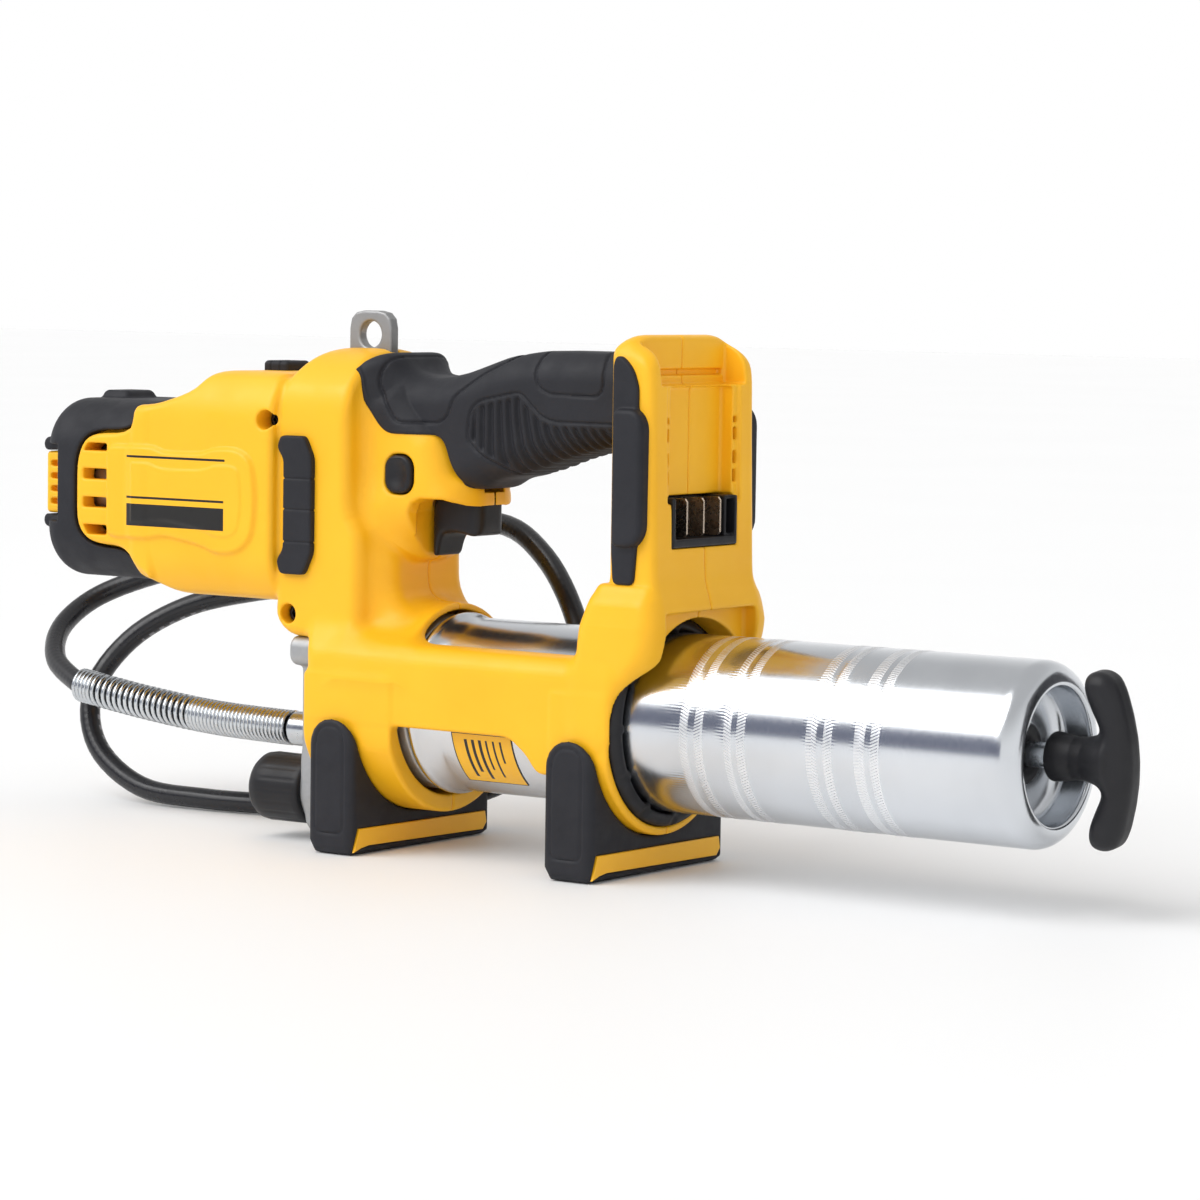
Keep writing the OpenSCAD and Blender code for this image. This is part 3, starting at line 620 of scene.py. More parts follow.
def motor_shape(s):
    nose = along_x(s, rectangle(s.y, s.z, (0, MOTOR_Z), (57, 55), 18), -196, -150, 3)
    panel = slab(s, SIDE_PANEL, 33, 2.5, 5)
    side = polygon(s.x, s.z, rounded(MOTOR_SIDE, 6))
    end = rectangle(s.y, s.z, (0, 120), (67, 88), 23)
    body = both(side, np.maximum(end, -161 - s.x), 3)
    shape = join(join(nose, panel), body, 2) + 0.6
    patch = np.maximum(polygon(s.x, s.z, rounded(CONTOUR, 5)), 20 - np.abs(s.y))
    shape = swell(shape, patch, 1.5, 2.0)
    shape = swell(shape, np.maximum(patch + 6, -158 - s.x), 0.5, 1.2)
    for x in (-156, -152.5):
        shape = cut(shape, cuboid(s, (x, -26, 84), (x + 1.2, -16, 91)), 0.3)
    return shape


def tower_shape(s):
    column = slab(s, COLUMN_SIDE, 29, 4, 5)
    column = both(column, np.hypot(s.y, np.maximum(s.z - 136, 0)) - 32.5, 3)
    neck = slab(s, NECK_SIDE, 19.5, 14.5, 2)
    head = slab(s, HEAD_SIDE, 19.5, 12, 3)
    head = cut(head, polygon(s.x, s.z, ARCH), 1.5)
    flare = slab(s, FLARE_SIDE, 22, 8, 4)
    plan = rectangle(s.x, s.y, (-50, 0), (48.2, 27.6), 11.5)
    lip = both(polygon(s.x, s.z, rounded(LIP_SIDE, 1.5)), plan, 1.8)
    collar = np.maximum(rod_x(s, -66, -41, 33.5, 0, AXIS_Z, 1.2), 62 - s.z)
    neck = join(join(neck, flare, 3), head, 9)
    neck = cut(join(neck, lip, 3), np.maximum(polygon(s.x, s.z, ARCH), np.abs(s.y) - 14.5), 0.5)
    return join(join(column, neck, 7), collar, 5)


def battery_column_shape(s):
    top = rectangle(s.y, s.z, (0, 86), (60.5, 180), 14)
    column = both(polygon(s.x, s.z, rounded(BATTERY_SIDE, 3)), top, 4)
    plan = rectangle(s.x, s.y, (67, 0), (60, 59.6), 9)
    column = both(column, np.minimum(plan, s.z - 95), 1)
    skirt = slab(s, SKIRT_SIDE, 34, 4, 4) + 3.5 * np.clip((s.z - 82) / 16, 0, 1)
    return join(column, skirt, 10)


def bar_shape(s):
    crown = rectangle(s.y, s.z, (0, 21.5), (70, 100), 9)
    bar = both(polygon(s.x, s.z, rounded(BAR_SIDE, 3)), crown, 1.5)
    bar = both(bar, rectangle(s.x, s.y, (20, 0), (200, 70), 5), 1)
    ring = np.hypot(s.y, s.z - AXIS_Z) - 37
    low_ring = both(ring, s.z - 60, 1)
    for x0, x1 in ((-80, -43), (22, 44.5)):
        bar = join(bar, both(along_x(s, low_ring, x0, x1, 1.4), np.abs(s.y) - 35, 1), 2)
    return bar


def shell_solid(s):
    core = slab(s, GRIP_SIDE, 13, 4) + 3.0
    shape = join(motor_shape(s), tower_shape(s), 2.5)
    shape = join(shape, bar_shape(s), 9)
    shape = join(shape, battery_column_shape(s), 5)
    return join(shape, core, 1)


def shell_openings(s):
    """Everything taken out of the shell, as one shape."""
    out = rod_x(s, -192, -111, 26.3, 0, MOTOR_Z)
    for part in (
            rod_x(s, -111.5, -68, 21.4, 0, MOTOR_Z),
            cuboid(s, (-88, -10, 68), (-71, 10, 100)),
            cuboid(s, (-110, -24.3, -1), (-76.5, 24.3, 72.3), 1),
            cuboid(s, (-110, -24.3, 21.7), (-59.5, 24.3, 72.3), 1),
            rod_x(s, -61.1, 80, BARREL_R + 2.2, 0, AXIS_Z),
            rod_x(s, 37.5, 80, 34.2, 0, AXIS_Z, 1),
            cuboid(s, (-45, -11.5, 124.4), (-33, 11.5, 151)),
            cuboid(s, (-34, -11.5, 126.4), (-28, 11.5, 151)),
            cuboid(s, (-29, -4, 144), (44, 4, 155)),
            cuboid(s, (41, -9, 108), (48.5, 9, 155)),
            trigger_slot(s)):
        out = join(out, part)
    return out


def trigger_slot(s):
    """Room for the trigger to slide up into when it is squeezed."""
    plan = rectangle(s.x, s.y, (-38.1, 0), (22, 16.8), 5.4)
    return both(plan, np.abs(s.z - 110) - 14.5, 0.5)


def battery_recesses(s):
    """The face that a battery slides down: shallow frame, deep bay, latch groove, contact bay."""
    out = cuboid(s, (55.4, -20.6, 121), (75, 20.6, 159), 0.6)
    for part in (
            cuboid(s, (50.4, -17.8, 120), (75, 17.8, 158), 1.2),
            cuboid(s, (47.4, -24, 158.4), (75, 24, 190), 1.0),
            cuboid(s, (45.4, -23, 161.4), (75, 23, 163.4), 0.4),
            cuboid(s, (43.9, -18.6, 106.6), (75, 18.6, 123.2), 0.5),
            cuboid(s, (55.2, -26, 71), (75, 26, 86.5), 1.5)):
        out = join(out, part)
    for z0, z1 in ((146.2, 148.2), (140.6, 144.6), (133, 137), (127, 131)):
        slot = both(np.abs(s.z - (z0 + z1) / 2) - (z1 - z0) / 2, np.abs(np.abs(s.y) - 19.2) - 1, 0.2)
        out = join(out, np.maximum(slot, 51 - s.x))
    return out


def vent_slots(s):
    out = None
    for z0, z1, slant in ((129.9, 132.6, 2), (120.0, 123.7, 0), (110.2, 113.8, 0), (100.8, 104.2, -2)):
        points = [(-182 + max(slant, 0), z1), (-171, z1), (-171, z0), (-182 - min(slant, 0), z0)]
        flat = polygon(s.x, s.z, rounded(points, 0.6))
        slot = np.maximum(flat, 20 - np.abs(s.y))
        out = slot if out is None else join(out, slot)
    return out


def shell_half(side):
    """side is -1 for the near half, which has the screw holes, and 1 for the far half."""
    name = "shell_left" if side < 0 else "shell_right"
    s = Block((-199, -37.5, 10), (61.5, 0.8, 178.5), 0.5 * FINE)
    shape = shell_solid(s)
    shape = cut(shape, shell_openings(s), 0.5)
    shape = cut(shape, battery_recesses(s), 0.6)
    shape = cut(shape, vent_slots(s), 0.6)
    shape = cut(shape, cuboid(s, (-88.4, -2.4, 149.6), (-69.6, 2.4, 190)), 0.4)
    button = rectangle(s.x, s.z, (-52.4, 126.2), (11.8, 13.4), 4.9)
    shape = cut(shape, np.maximum(button, 8 - np.abs(s.y)), 1.0)
    for x, z, half, way in SCREWS:
        if way == side:
            shape = cut(shape, rod_y(s, -60, -half + 8, 3.3, x, z), 0.8)
    shape = both(shape, s.y + 0.12, 0.35)
    obj = solid(name, s, shape)
    if side > 0:
        obj.data.transform(((1, 0, 0, 0), (0, -1, 0, 0), (0, 0, 1, 0), (0, 0, 0, 1)))
        obj.data.flip_normals()
    return obj


def add_shell():
    for side, node in ((-1, "housing_left"), (1, "housing_right")):
        finish_piece(shell_half(side), "tool_body", "yellow_shell", node)


# ---------- soft grip ----------

PANEL_A = [
    (-54, 169), (-57, 166), (-59.5, 164.3), (-61.8, 159.7), (-61.8, 155.1), (-54.5, 144.3),
    (-52, 143.3), (-38, 143.6), (-35, 145.7), (-32.5, 152.3), (-22, 160), (-13, 164.4), (-6, 169)]
PANEL_B = [
    (2, 170), (1, 165.4), (0.5, 160.5), (2, 156.5), (6.5, 154.3), (25.9, 154), (28, 156.4),
    (27.5, 164.4), (25, 170)]
FRONT_SIDE = [(-96, 138), (-96, 166.6), (-61, 166.6), (-57, 164.5), (-50, 157), (-50, 138)]
RIB_FIELD = [
    (-21.7, 150.3), (-24.5, 147.8), (-25.8, 138.8), (-20.6, 134.6), (-7, 127.4), (0, 124),
    (15, 126), (31, 132), (31, 144.2), (8.7, 144.4), (3.4, 145.6), (-2.9, 151), (-5.8, 153.6)]
RIB_BORDER = [
    (31, 145.4), (8.7, 145.4), (3.6, 146.8), (-2.5, 152.3), (-5.5, 154.8), (-21.7, 151.5),
    (-25.5, 148.6), (-26.8, 138.5), (-21, 133.6), (-6.7, 126.4)]


def grip_ribs(s, shape):
    """Raised ribs that lean back more and more towards the rear of the grip."""
    field = polygon(s.x, s.z, RIB_FIELD)
    lean = np.clip((s.x + 18) / 30, 0, 1) * 9
    fall = np.clip((150 - s.z) / 22, 0, 1) ** 1.4
    phase = (s.x - lean * fall + 24.2) / 3.55
    wave = 0.5 - 0.5 * np.cos(2 * math.pi * phase)
    depth = np.clip(-field / 1.2, 0, 1)
    return shape + 1.5 * (1 - wave ** 0.8) * depth


def add_grip():
    s = Block((-73, -22.5, 119), (39, 22.5, 170.5), 0.45 * FINE)
    outline = polygon(s.x, s.z, rounded(GRIP_SIDE, 3))
    tower = tower_shape(s)
    handle = both(polygon(s.x, s.z, rounded(HANDLE_SIDE, 4)), np.abs(s.y) - 16.5, 10.5)
    plan = rectangle(s.x, s.y, (-76, 0), (39, 41.4), 13)
    front = both(polygon(s.x, s.z, FRONT_SIDE), plan, 3.5)
    front = both(front, np.hypot(s.y, np.maximum(s.z - 136, 0)) - 33.2, 2)
    shape = join(handle, front, 8)
    shape = both(join(shape, tower - 0.8), outline, 0.9)
    shape = np.maximum(shape, np.abs(s.y) - 21.3)
    for border in (PANEL_A, PANEL_B, RIB_BORDER):
        shape = groove(shape, line(s.x, s.z, rounded_open(border)), 1.1, 0.8)
    shape = grip_ribs(s, shape)
    shape = cut(shape, join(slab(s, GRIP_SIDE, 13, 3) + 3.2, tower + 0.5))
    shape = cut(shape, cuboid(s, (-88.4, -2.6, 149.6), (-69.4, 2.6, 190)), 0.3)
    shape = np.maximum(cut(shape, trigger_slot(s)), s.x - 37)
    finish_piece(solid("grip_skin", s, shape), "tool_body", "black_rubber", "grip_overmold")


def rounded_open(points):
    """An open line with its inner corners replaced by short curves."""
    out = [points[0]]
    for a, b, c in zip(points, points[1:], points[2:]):
        a, b, c = (np.array(p, float) for p in (a, b, c))
        start = b + (a - b) * min(2.5 / np.linalg.norm(a - b), 0.5)
        end = b + (c - b) * min(2.5 / np.linalg.norm(c - b), 0.5)
        for t in (0, 0.33, 0.67, 1):
            out.append(tuple((1 - t) ** 2 * start + 2 * t * (1 - t) * b + t * t * end))
    return out + [points[-1]]


# ---------- black trim ----------

def add_front_cap():
    s = Block((-215, -33.5, 82), (-149, 33.5, 152.5), 0.5 * FINE)
    shape = along_x(s, rectangle(s.y, s.z, (0, 116.3), (64, 62.5), 18), -203, -130, 9)
    shape = np.maximum(shape, s.x + 158)
    for low, high in ((138, 150.2), (84.4, 96)):
        bump = cuboid(s, (-196, -8, low), (-183, 8, high), 2.5)
        shape = join(shape, bump, 1.5)
    shape = cut(shape, both(24.5 - np.abs(s.y), both(np.abs(s.z - 118) - 13.5, s.x + 194.4), 0.5), 0.5)
    frame = both(rectangle(s.y, s.z, (0, 117.8), (53.6, 31), 3), np.abs(s.x + 196) - 2.6, 1)
    shape = join(shape, frame, 0.5)
    for z in (131.2, 104.5):
        arm = cuboid(s, (-204.8, -26.6, z - 2), (-194, 26.6, z + 2), 1.4)
        nub = both(np.hypot(s.x + 203.2, s.z - z) - 2.5, np.abs(s.y) - 26.8, 1)
        middle = cuboid(s, (-210.4, -14, z - 2), (-194, 14, z + 2), 1.4)
        shape = join(join(join(shape, nub, 1), arm, 1), middle, 4)
    shape = cut(shape, cuboid(s, (-230, -30, 106.7), (-198.4, 30, 129), 0.6), 0.3)
    shape = cut(shape, cuboid(s, (-230, -26.2, 106.7), (-190, 26.2, 129), 0.6), 0.3)
    shape = cut(shape, motor_shape(s) - 0.12, 0.2)
    shape = cut(shape, rod_x(s, -199, -150, 26.3, 0, MOTOR_Z))
    window = polygon(s.x, s.z, rounded(SIDE_PANEL, 5)) - 0.5
    shape = cut(shape, np.maximum(window, 24 - np.abs(s.y)), 1.2)
    finish_piece(solid("nose_cap", s, shape), "tool_body", "black_rubber", "front_bumper")


def add_grille():
    s = Block((-207, -28, 105), (-195, 28, 130.5), 0.45 * FINE)
    shape = cuboid(s, (-205, -26.1, 107), (-197, 26.1, 128.7), 1.4)
    for z in (111.2, 115.6, 120.1, 124.5):
        slot = rectangle(s.y, s.z, (0, z), (42, 2.1), 0.9)
        shape = cut(shape, np.maximum(slot, s.x + 200), 0.5)
        side = rectangle(s.x, s.z, (-200.6, z), (4.4, 2.1), 0.9)
        shape = cut(shape, np.maximum(side, 23 - np.abs(s.y)), 0.5)
    finish_piece(solid("grille_plate", s, shape), "tool_body", "yellow_shell", "vent_panel")


def add_top_pad():
    s = Block((-125, -11, 156), (-104, 11, 163), 0.35 * FINE)
    shape = cuboid(s, (-122.5, -6.5, 157), (-111.5, 6.5, 162.3), 1.5)
    for x in (-119, -115):
        shape = groove(shape, np.abs(s.x - x), 0.9, 0.5)
    finish_piece(solid("motor_pad", s, shape), "tool_body", "black_rubber", "top_pad")


def mirrored(obj):
    """Joins a mirror image across the mid-plane onto a mesh."""
    count = len(obj.data.vertices)
    co = np.empty(count * 3, np.float32)
    obj.data.vertices.foreach_get("co", co)
    co = co.reshape(-1, 3)
    faces = [tuple(p.vertices) for p in obj.data.polygons]
    flipped = [tuple(count + v for v in f[::-1]) for f in faces]
    mesh = bpy.data.meshes.new(obj.data.name)
    mesh.from_pydata(np.vstack([co, co * (1, -1, 1)]).tolist(), [], faces + flipped)
    mesh.shade_smooth()
    obj.data = mesh
    return obj


def add_side_pads():
    outline = [
        (-94, 138), (-84, 138), (-80.5, 131), (-80.5, 99), (-84, 91.5), (-94, 91.5), (-95.5, 96),
        (-92.7, 100), (-92.7, 130), (-95.5, 134)]
    s = Block((-97, -33, 90), (-79, -27, 140), 0.35 * FINE)
    flat = polygon(s.x, s.z, rounded(outline, 1.5))
    shape = both(flat, np.abs(s.y + 29.5) - 1.9, 0.9)
    for z in (123.7, 113.4, 102.5):
        shape = groove(shape, np.abs(s.z - z), 0.7, 0.5)
    finish_piece(mirrored(solid("flank_pads", s, shape)), "tool_body", "black_rubber", "side_pads")


def add_column_bumpers():
    base = [(41.8, 165), (43, 168), (46, 167), (49.5, 163.5), (51.5, 158), (51.5, 107),
            (50.5, 95.3), (42.6, 95.3), (41.8, 106)]
    proud = [(43.5, 151), (52.5, 151), (55, 147), (55, 112), (52, 107.5), (43.5, 107.5)]
    s = Block((35, -35, 91), (57, -26, 172), 0.4 * FINE)
    low = both(polygon(s.x, s.z, rounded(base, 2)), np.abs(s.y + 28) - 3.1, 1.0)
    high = both(polygon(s.x, s.z, rounded(proud, 2.5)), np.abs(s.y + 29.5) - 4.4, 1.8)
    shape = join(low, high, 1)
    finish_piece(mirrored(solid("flank_bumpers", s, shape)), "tool_body", "black_rubber",
                 "column_bumpers")


def add_foot(name, node, rear):
    front = rear - 19
    mid = (front + rear) / 2
    s = Block((front - 2, -40.5, -1.5), (rear + 2, 40.5, 48), 0.5 * FINE)
    arch = [(front, 4), (front + 2.5, 0), (rear - 2, 0), (rear, 1.5), (rear, 36.5)]
    arch += [(mid + 9.5 * math.cos(a), 36.5 + 9.5 * math.sin(a)) for a in np.linspace(0.2, 2.94, 9)]
    arch += [(front, 36.5)]
    outline = polygon(s.x, s.z, arch)
    shape = both(outline, np.abs(s.y) - 38.5, 3)
    panel = polygon(s.x, s.z, rounded([
        (front + 3.2, 7), (rear - 3.6, 7), (rear - 3.6, 36), (mid + 5, 41.5), (mid, 43.3),
        (mid - 5, 41.5), (front + 3.2, 36)], 3))
    shape = groove(shape, np.abs(np.maximum(panel, 37 - np.abs(s.y))), 1.0, 0.55)
    ring = np.hypot(s.y, s.z - AXIS_Z) - 37.2
    shape = cut(shape, np.maximum(ring, s.z - 60), 1.2)
    core = cuboid(s, (front + 3, -34, 3.5), (rear - 3, 34, 60), 0.3)
    shape = cut(shape, core)
    bar = np.maximum(np.abs(s.y) - 35.2, 43.9 - s.z)
    shape = cut(shape, bar, 0.4)
    if rear < 0:
        shape = cut(shape, cuboid(s, (-95, -24.4, 21.6), (-59.4, 24.4, 72)), 0.3)
    shape = cut(shape, np.maximum(polygon(s.y, s.z, STRIPE), rear - 0.7 - s.x), 0.3)
    finish_piece(solid(name, s, shape), "tool_body", "black_rubber", node)


STRIPE = [(-34.6, 9.0), (35.6, 8.4), (36.4, 4.0), (34.4, 1.7), (-29.3, 2.6), (-33.5, 2.0), (-37.3, 0.8)]


def add_stripes():
    """The yellow strip low on the rear face of each foot."""
    points, faces = [], []
    for rear in (-56.0, 41.0):
        for x, shrink in ((rear - 0.6, 0.35), (rear + 0.05, 0.4), (rear + 0.2, 0.75)):
            ring = np.array(STRIPE, float)
            centre = np.array([0.0, 5.2])
            step = ring - centre
            ring = ring - np.sign(step) * shrink * np.array([1.0, 0.6])
            points += [(x, y, z) for y, z in ring]
        n, base = len(STRIPE), len(points) - 3 * len(STRIPE)
        for level in range(2):
            for k in range(n):
                j = (k + 1) % n
                a, b = base + level * n, base + (level + 1) * n
                faces.append((a + k, b + k, b + j, a + j))
        faces.append(tuple(base + 2 * n + k for k in range(n))[::-1])
        faces.append(tuple(base + k for k in range(n)))
    strips = new_object("foot_strips", points, faces, smooth=False)
    finish_piece(strips, "tool_body", "stripe_yellow", "foot_stripes")


def add_lug():
    s = Block((-90, -3.5, 148), (-68, 3.5, 181.5), 0.3 * FINE)
    outline = rounded([(-88, 148.6), (-70, 148.6), (-70, 180), (-88, 180)], 6)
    shape = both(polygon(s.x, s.z, outline), np.abs(s.y) - 2.2, 0.8)
    shape = cut(shape, rod_y(s, -9, 9, 4.5, -79, 172), 1.2)
    finish_piece(solid("hanging_eye", s, shape), "tool_body", "bright_steel", "hanging_lug",
                 look="plain_steel")


def add_terminals():
    s = Block((42.5, -20, 105.3), (60, 20, 124.8), 0.35 * FINE)
    shape = cuboid(s, (44, -18.4, 106.8), (57.4, 18.4, 122.8), 0.6)
    shape = cut(shape, cuboid(s, (46.5, -16.8, 109.6), (70, 17, 130), 0.6), 0.3)
    shape = join(shape, cuboid(s, (46, 12.6, 108), (56.4, 18.3, 125), 0.5))
    shape = cut(shape, cuboid(s, (50, 13.6, 110.5), (70, 17.2, 121.5), 0.3), 0.3)
    shape = np.maximum(shape, s.z - 122.8)
    finish_piece(solid("contact_block", s, shape), "tool_body", "black_plastic", "terminal_block")
    points, faces = [], []
    for y in (-9.3, 0.2, 9.7):
        base = len(points)
        side = [(44.2, 110), (55.7, 110), (56.5, 111), (56.5, 121.3), (55.7, 122.3), (44.2, 122.3)]
        points += [(x, y - 0.4, z) for x, z in side] + [(x, y + 0.4, z) for x, z in side]
        n = len(side)
        faces.append(tuple(base + k for k in range(n)))
        faces.append(tuple(base + n + k for k in range(n))[::-1])
        faces += [(base + k, base + n + k, base + n + (k + 1) % n, base + (k + 1) % n) for k in range(n)]
    blades = new_object("contact_blades", points, faces, smooth=False)
    finish_piece(blades, "tool_body", "blade_metal", "terminal_blades")


def add_collar():
    """Black ring in the shell's rear mouth, with small clips round it."""
    def clips(x, a):
        on = math.cos(a * 12) > 0.82 and 45.5 < x < 47.6
        return -1.1 if on else 0.0
    profile = [(38, 29.6), (38, 33.8), (45.2, 33.9), (46.4, 33.2), (47.2, 31.8), (47.3, 30.4),
               (46.2, 29.6), (38, 29.6)]
    ring = lathe("rear_ring", profile, 0, AXIS_Z, 240, clips)
    finish_piece(ring, "tool_body", "black_plastic", "barrel_collar")


def add_screws():
    """Pan-head screws with a six-lobe recess, sunk in the shell: two from each side."""
    s = Block((-4, -4, -4), (4, 4, 4), 0.2 * FINE)
    around = np.arctan2(s.z, s.x)
    radial = np.hypot(s.x, s.z)
    head = both(radial - 2.9, np.abs(s.y + 0.5) - 1.4, 0.7)
    star = radial - 1.45 - 0.22 * np.cos(6 * around)
    head = cut(head, np.maximum(star, s.y + 0.6), 0.15)
    first = None
    for x, z, half, way in SCREWS:
        screw = solid("housing_screw", s, head)
        screw.location = Vector((x, way * (half - 6.2), z)) * MM
        if way > 0:
            screw.rotation_euler.z = math.pi
        first = first or screw
        finish_piece(screw, "tool_body", "bright_steel", look="screw_black")
    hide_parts("housing_screws")


# ---------- pump head and knob ----------

def add_pump_head():
    s = Block((-92, -31, 1), (-39, 31, 80), 0.5 * FINE)
    upper = along_x(s, rectangle(s.y, s.z, (0, 41), (47, 62), 8), -90, -76, 1.2)
    lower = along_x(s, rectangle(s.y, s.z, (0, 18), (44, 30), 6), -90, -79, 2)
    back = cuboid(s, (-79, -24, 22), (-60, 24, 72), 1.5)
    flange = rod_x(s, -61, -41, 29.4, 0, AXIS_Z, 0.8)
    ear = along_x(s, rectangle(s.y, s.z, (0, 65.5), (57, 10), 4), -91.5, -82.2, 1)
    shape = join(join(join(join(upper, lower, 4), back, 1.5), flange, 0.5), ear, 2)
    for y, z, r in ((3, 35, 9.5), (-13.5, 17, 9.5), (0, 62, 7)):
        shape = join(shape, rod_x(s, -90, -84, r, y, z, 0.6), 2)
    for y in (-17, 17):
        shape = cut(shape, rod_x(s, -95, -87.6, 2.7, y, 64 if y > 0 else 63), 0.5)
    shape = cut(shape, rod_x(s, -56, -39, 27.1, 0, AXIS_Z))
    shape = cut(shape, rod_x(s, -81, -50, 4, 0, AXIS_Z))
    shape = cut(shape, rod_x(s, -91, -80, 3.2, 3, 35))
    shape = cut(shape, rod_x(s, -91, -81, 5.1, -13.5, 17))
    finish_piece(solid("cast_head", s, shape), "tool_body", "cast_metal", "pump_head")


def add_knob():
    profile = [(-90.4, 0.0), (-90.4, 10.9), (-91.4, 11.7), (-108.5, 11.8), (-111.2, 11.4),
               (-112.8, 10.2), (-113.4, 8.4), (-113.5, 0.0)]
    def flats(x, a):
        return -0.18 * max(0.0, math.cos(a * 18)) ** 4 if -107 < x < -92 else 0.0
    dense = []
    for (x0, r0), (x1, r1) in zip(profile, profile[1:]):
        steps = max(1, int(abs(x1 - x0) / 2))
        dense += [(x0 + (x1 - x0) * k / steps, r0 + (r1 - r0) * k / steps) for k in range(steps)]
    knob = lathe("bleed_knob", dense + [profile[-1]], -13.5, 17, 144, flats)
    finish_piece(knob, "knob", "black_plastic", "vent_knob")


def add_fitting():
    """Crimped ferrule with a hexagon where the guard leaves the pump head."""
    s = Block((-116, -6, 26), (-88, 12, 44), 0.3 * FINE)
    y, z = s.y - 3, s.z - 35
    radial = np.hypot(y, z)
    around = np.arctan2(z, y)
    flat = radial * np.cos(np.mod(around, math.pi / 3) - math.pi / 6)
    hexagon = np.maximum(both(flat - 6.6, np.abs(s.x + 94) - 3.6, 0.4), radial - 7.2)
    ferrule = both(radial - 6, np.abs(s.x + 106) - 8, 0.7)
    shape = join(hexagon, ferrule, 0.5)
    finish_piece(solid("outlet_ferrule", s, shape), "tool_body", "bright_steel", "hose_fitting")


def add_clip():
    s = Block((-97, 26, 139), (-71, 45, 154), 0.35 * FINE)
    plate = cuboid(s, (-94, 28.4, 141), (-74, 33.5, 152), 1.2)
    ring = both(np.hypot(s.x + 84, s.y - 40) - 9.2, np.abs(s.z - 146.5) - 5.5, 1.2)
    shape = join(plate, ring, 1.5)
    shape = cut(shape, np.hypot(s.x + 84, s.y - 40) - 7.15, 0.3)
    shape = np.maximum(shape, s.y - 42.4)
    finish_piece(solid("park_clip", s, shape), "tool_body", "black_plastic", "hose_clip")


# ---------- barrel ----------

KNURLS = [69.6, 75.0, 85.7, 91.1, 117.5, 122.9, 134.5, 139.9]
KNURL_W = 3.1


def on_knurl(x):
    return any(abs(x - k) <= KNURL_W / 2 for k in KNURLS)


def barrel_profile():
    """Outer wall, front bead, rolled rear rim and the dish inside it."""
    points = [(-54, 25.9), (-54, 27), (-41, 27), (-40, 27.5), (-40, 30), (-39.3, 30.4), (-38, 30.5),
              (-36.8, 30), (-36, 29)]
    x = -36.0
    while x < 180:
        x += 0.45 if on_knurl(x + 0.45) or on_knurl(x) else 2.0 if 66 < x < 143 else 8.0
        points.append((min(x, 180.6), BARREL_R))
    for a in np.linspace(0, 90, 15):
        points.append((181 + 7 * math.sin(math.radians(a)), 22 + 7 * math.cos(math.radians(a))))
    points += [(187.2, 21.4), (185.5, 21.5), (179, 21.9), (177.4, 21.4), (176, 20), (175.4, 18.6),
               (174.8, 17.4), (174.4, 15), (174.2, 12), (174.2, 7.05), (172.5, 7.05), (172.5, 27.5),
               (-39, 27.5), (-41, 25.9), (-54, 25.9)]
    return points


def add_barrel():
    turns = 900

    def knurl(x, a):
        near = min(abs(x - k) for k in KNURLS)
        if near > KNURL_W / 2 or x > 150:
            return 0.0
        return 0.1 * min(1.0, (KNURL_W / 2 - near) / 0.4) * knurl_wave(x, a)
    tube_mesh = lathe("grease_barrel", barrel_profile(), 0, AXIS_Z, turns, knurl)
    finish_piece(tube_mesh, "barrel", "barrel_metal", "barrel")
    tube_mesh.data.materials.append(materials["knurl"])
    for face in tube_mesh.data.polygons:
        x, y, z = face.center / MM
        outside = math.hypot(y, z - AXIS_Z) > 28.5 and x < 150
        if outside and on_knurl(x) and knurl_wave(x, math.atan2(z - AXIS_Z, y)) > 0.25:
            face.material_index = 1


def knurl_wave(x, a):
    """Slanting ridges; they lean one way in a band and the other way in its neighbour."""
    band = min(range(len(KNURLS)), key=lambda k: abs(x - KNURLS[k]))
    lean = 1 if band % 2 else -1
    turn = 180 * a + lean * 2 * math.pi * x / 2.1
    return 0.5 + 0.5 * math.sin(turn)


def add_label():
    """Film on the barrel's near side, with a dark border and blank bars instead of writing."""
    low, high = math.radians(-168), math.radians(-128)
    across, along = 60, 56
    dark = [(0.0, 0.018, 0.0, 1.0), (0.982, 1.0, 0.0, 1.0), (0.0, 1.0, 0.0, 0.02), (0.0, 1.0, 0.98, 1.0)]
    for k, end in enumerate((0.86, 0.74, 0.9, 0.66, 0.82, 0.5)):
        u = 0.2 + 0.115 * k
        dark.append((u, u + 0.045, 0.1, end))
    points, faces, marks = [], [], []
    for i in range(across + 1):
        for j in range(along + 1):
            a = low + (high - low) * j / along
            x = -22.5 + 24.5 * i / across
            points.append((x, 29.18 * math.cos(a), AXIS_Z + 29.18 * math.sin(a)))
    for i in range(across):
        for j in range(along):
            faces.append((i * (along + 1) + j, i * (along + 1) + j + 1,
                          (i + 1) * (along + 1) + j + 1, (i + 1) * (along + 1) + j))
            u, v = (i + 0.5) / across, (j + 0.5) / along
            marks.append(any(u0 <= u <= u1 and v0 <= v <= v1 for u0, u1, v0, v1 in dark))
    label = new_object("barrel_film", points, faces)
    finish_piece(label, "barrel", "label_film", "barrel_label")
    label.data.materials.append(materials["ink"])
    for face, mark in zip(label.data.polygons, marks):
        face.material_index = int(mark)


def add_bush():
    profile = [(169, 4.1), (169, 10), (172.4, 10), (172.4, 7), (174.2, 7), (174.2, 9.2), (175, 9.8),
               (176.6, 9.4), (177, 8.6), (177, 4.1), (169, 4.1)]
    finish_piece(lathe("dish_bush", profile, 0, AXIS_Z, 96), "barrel", "black_plastic", "rod_bush")


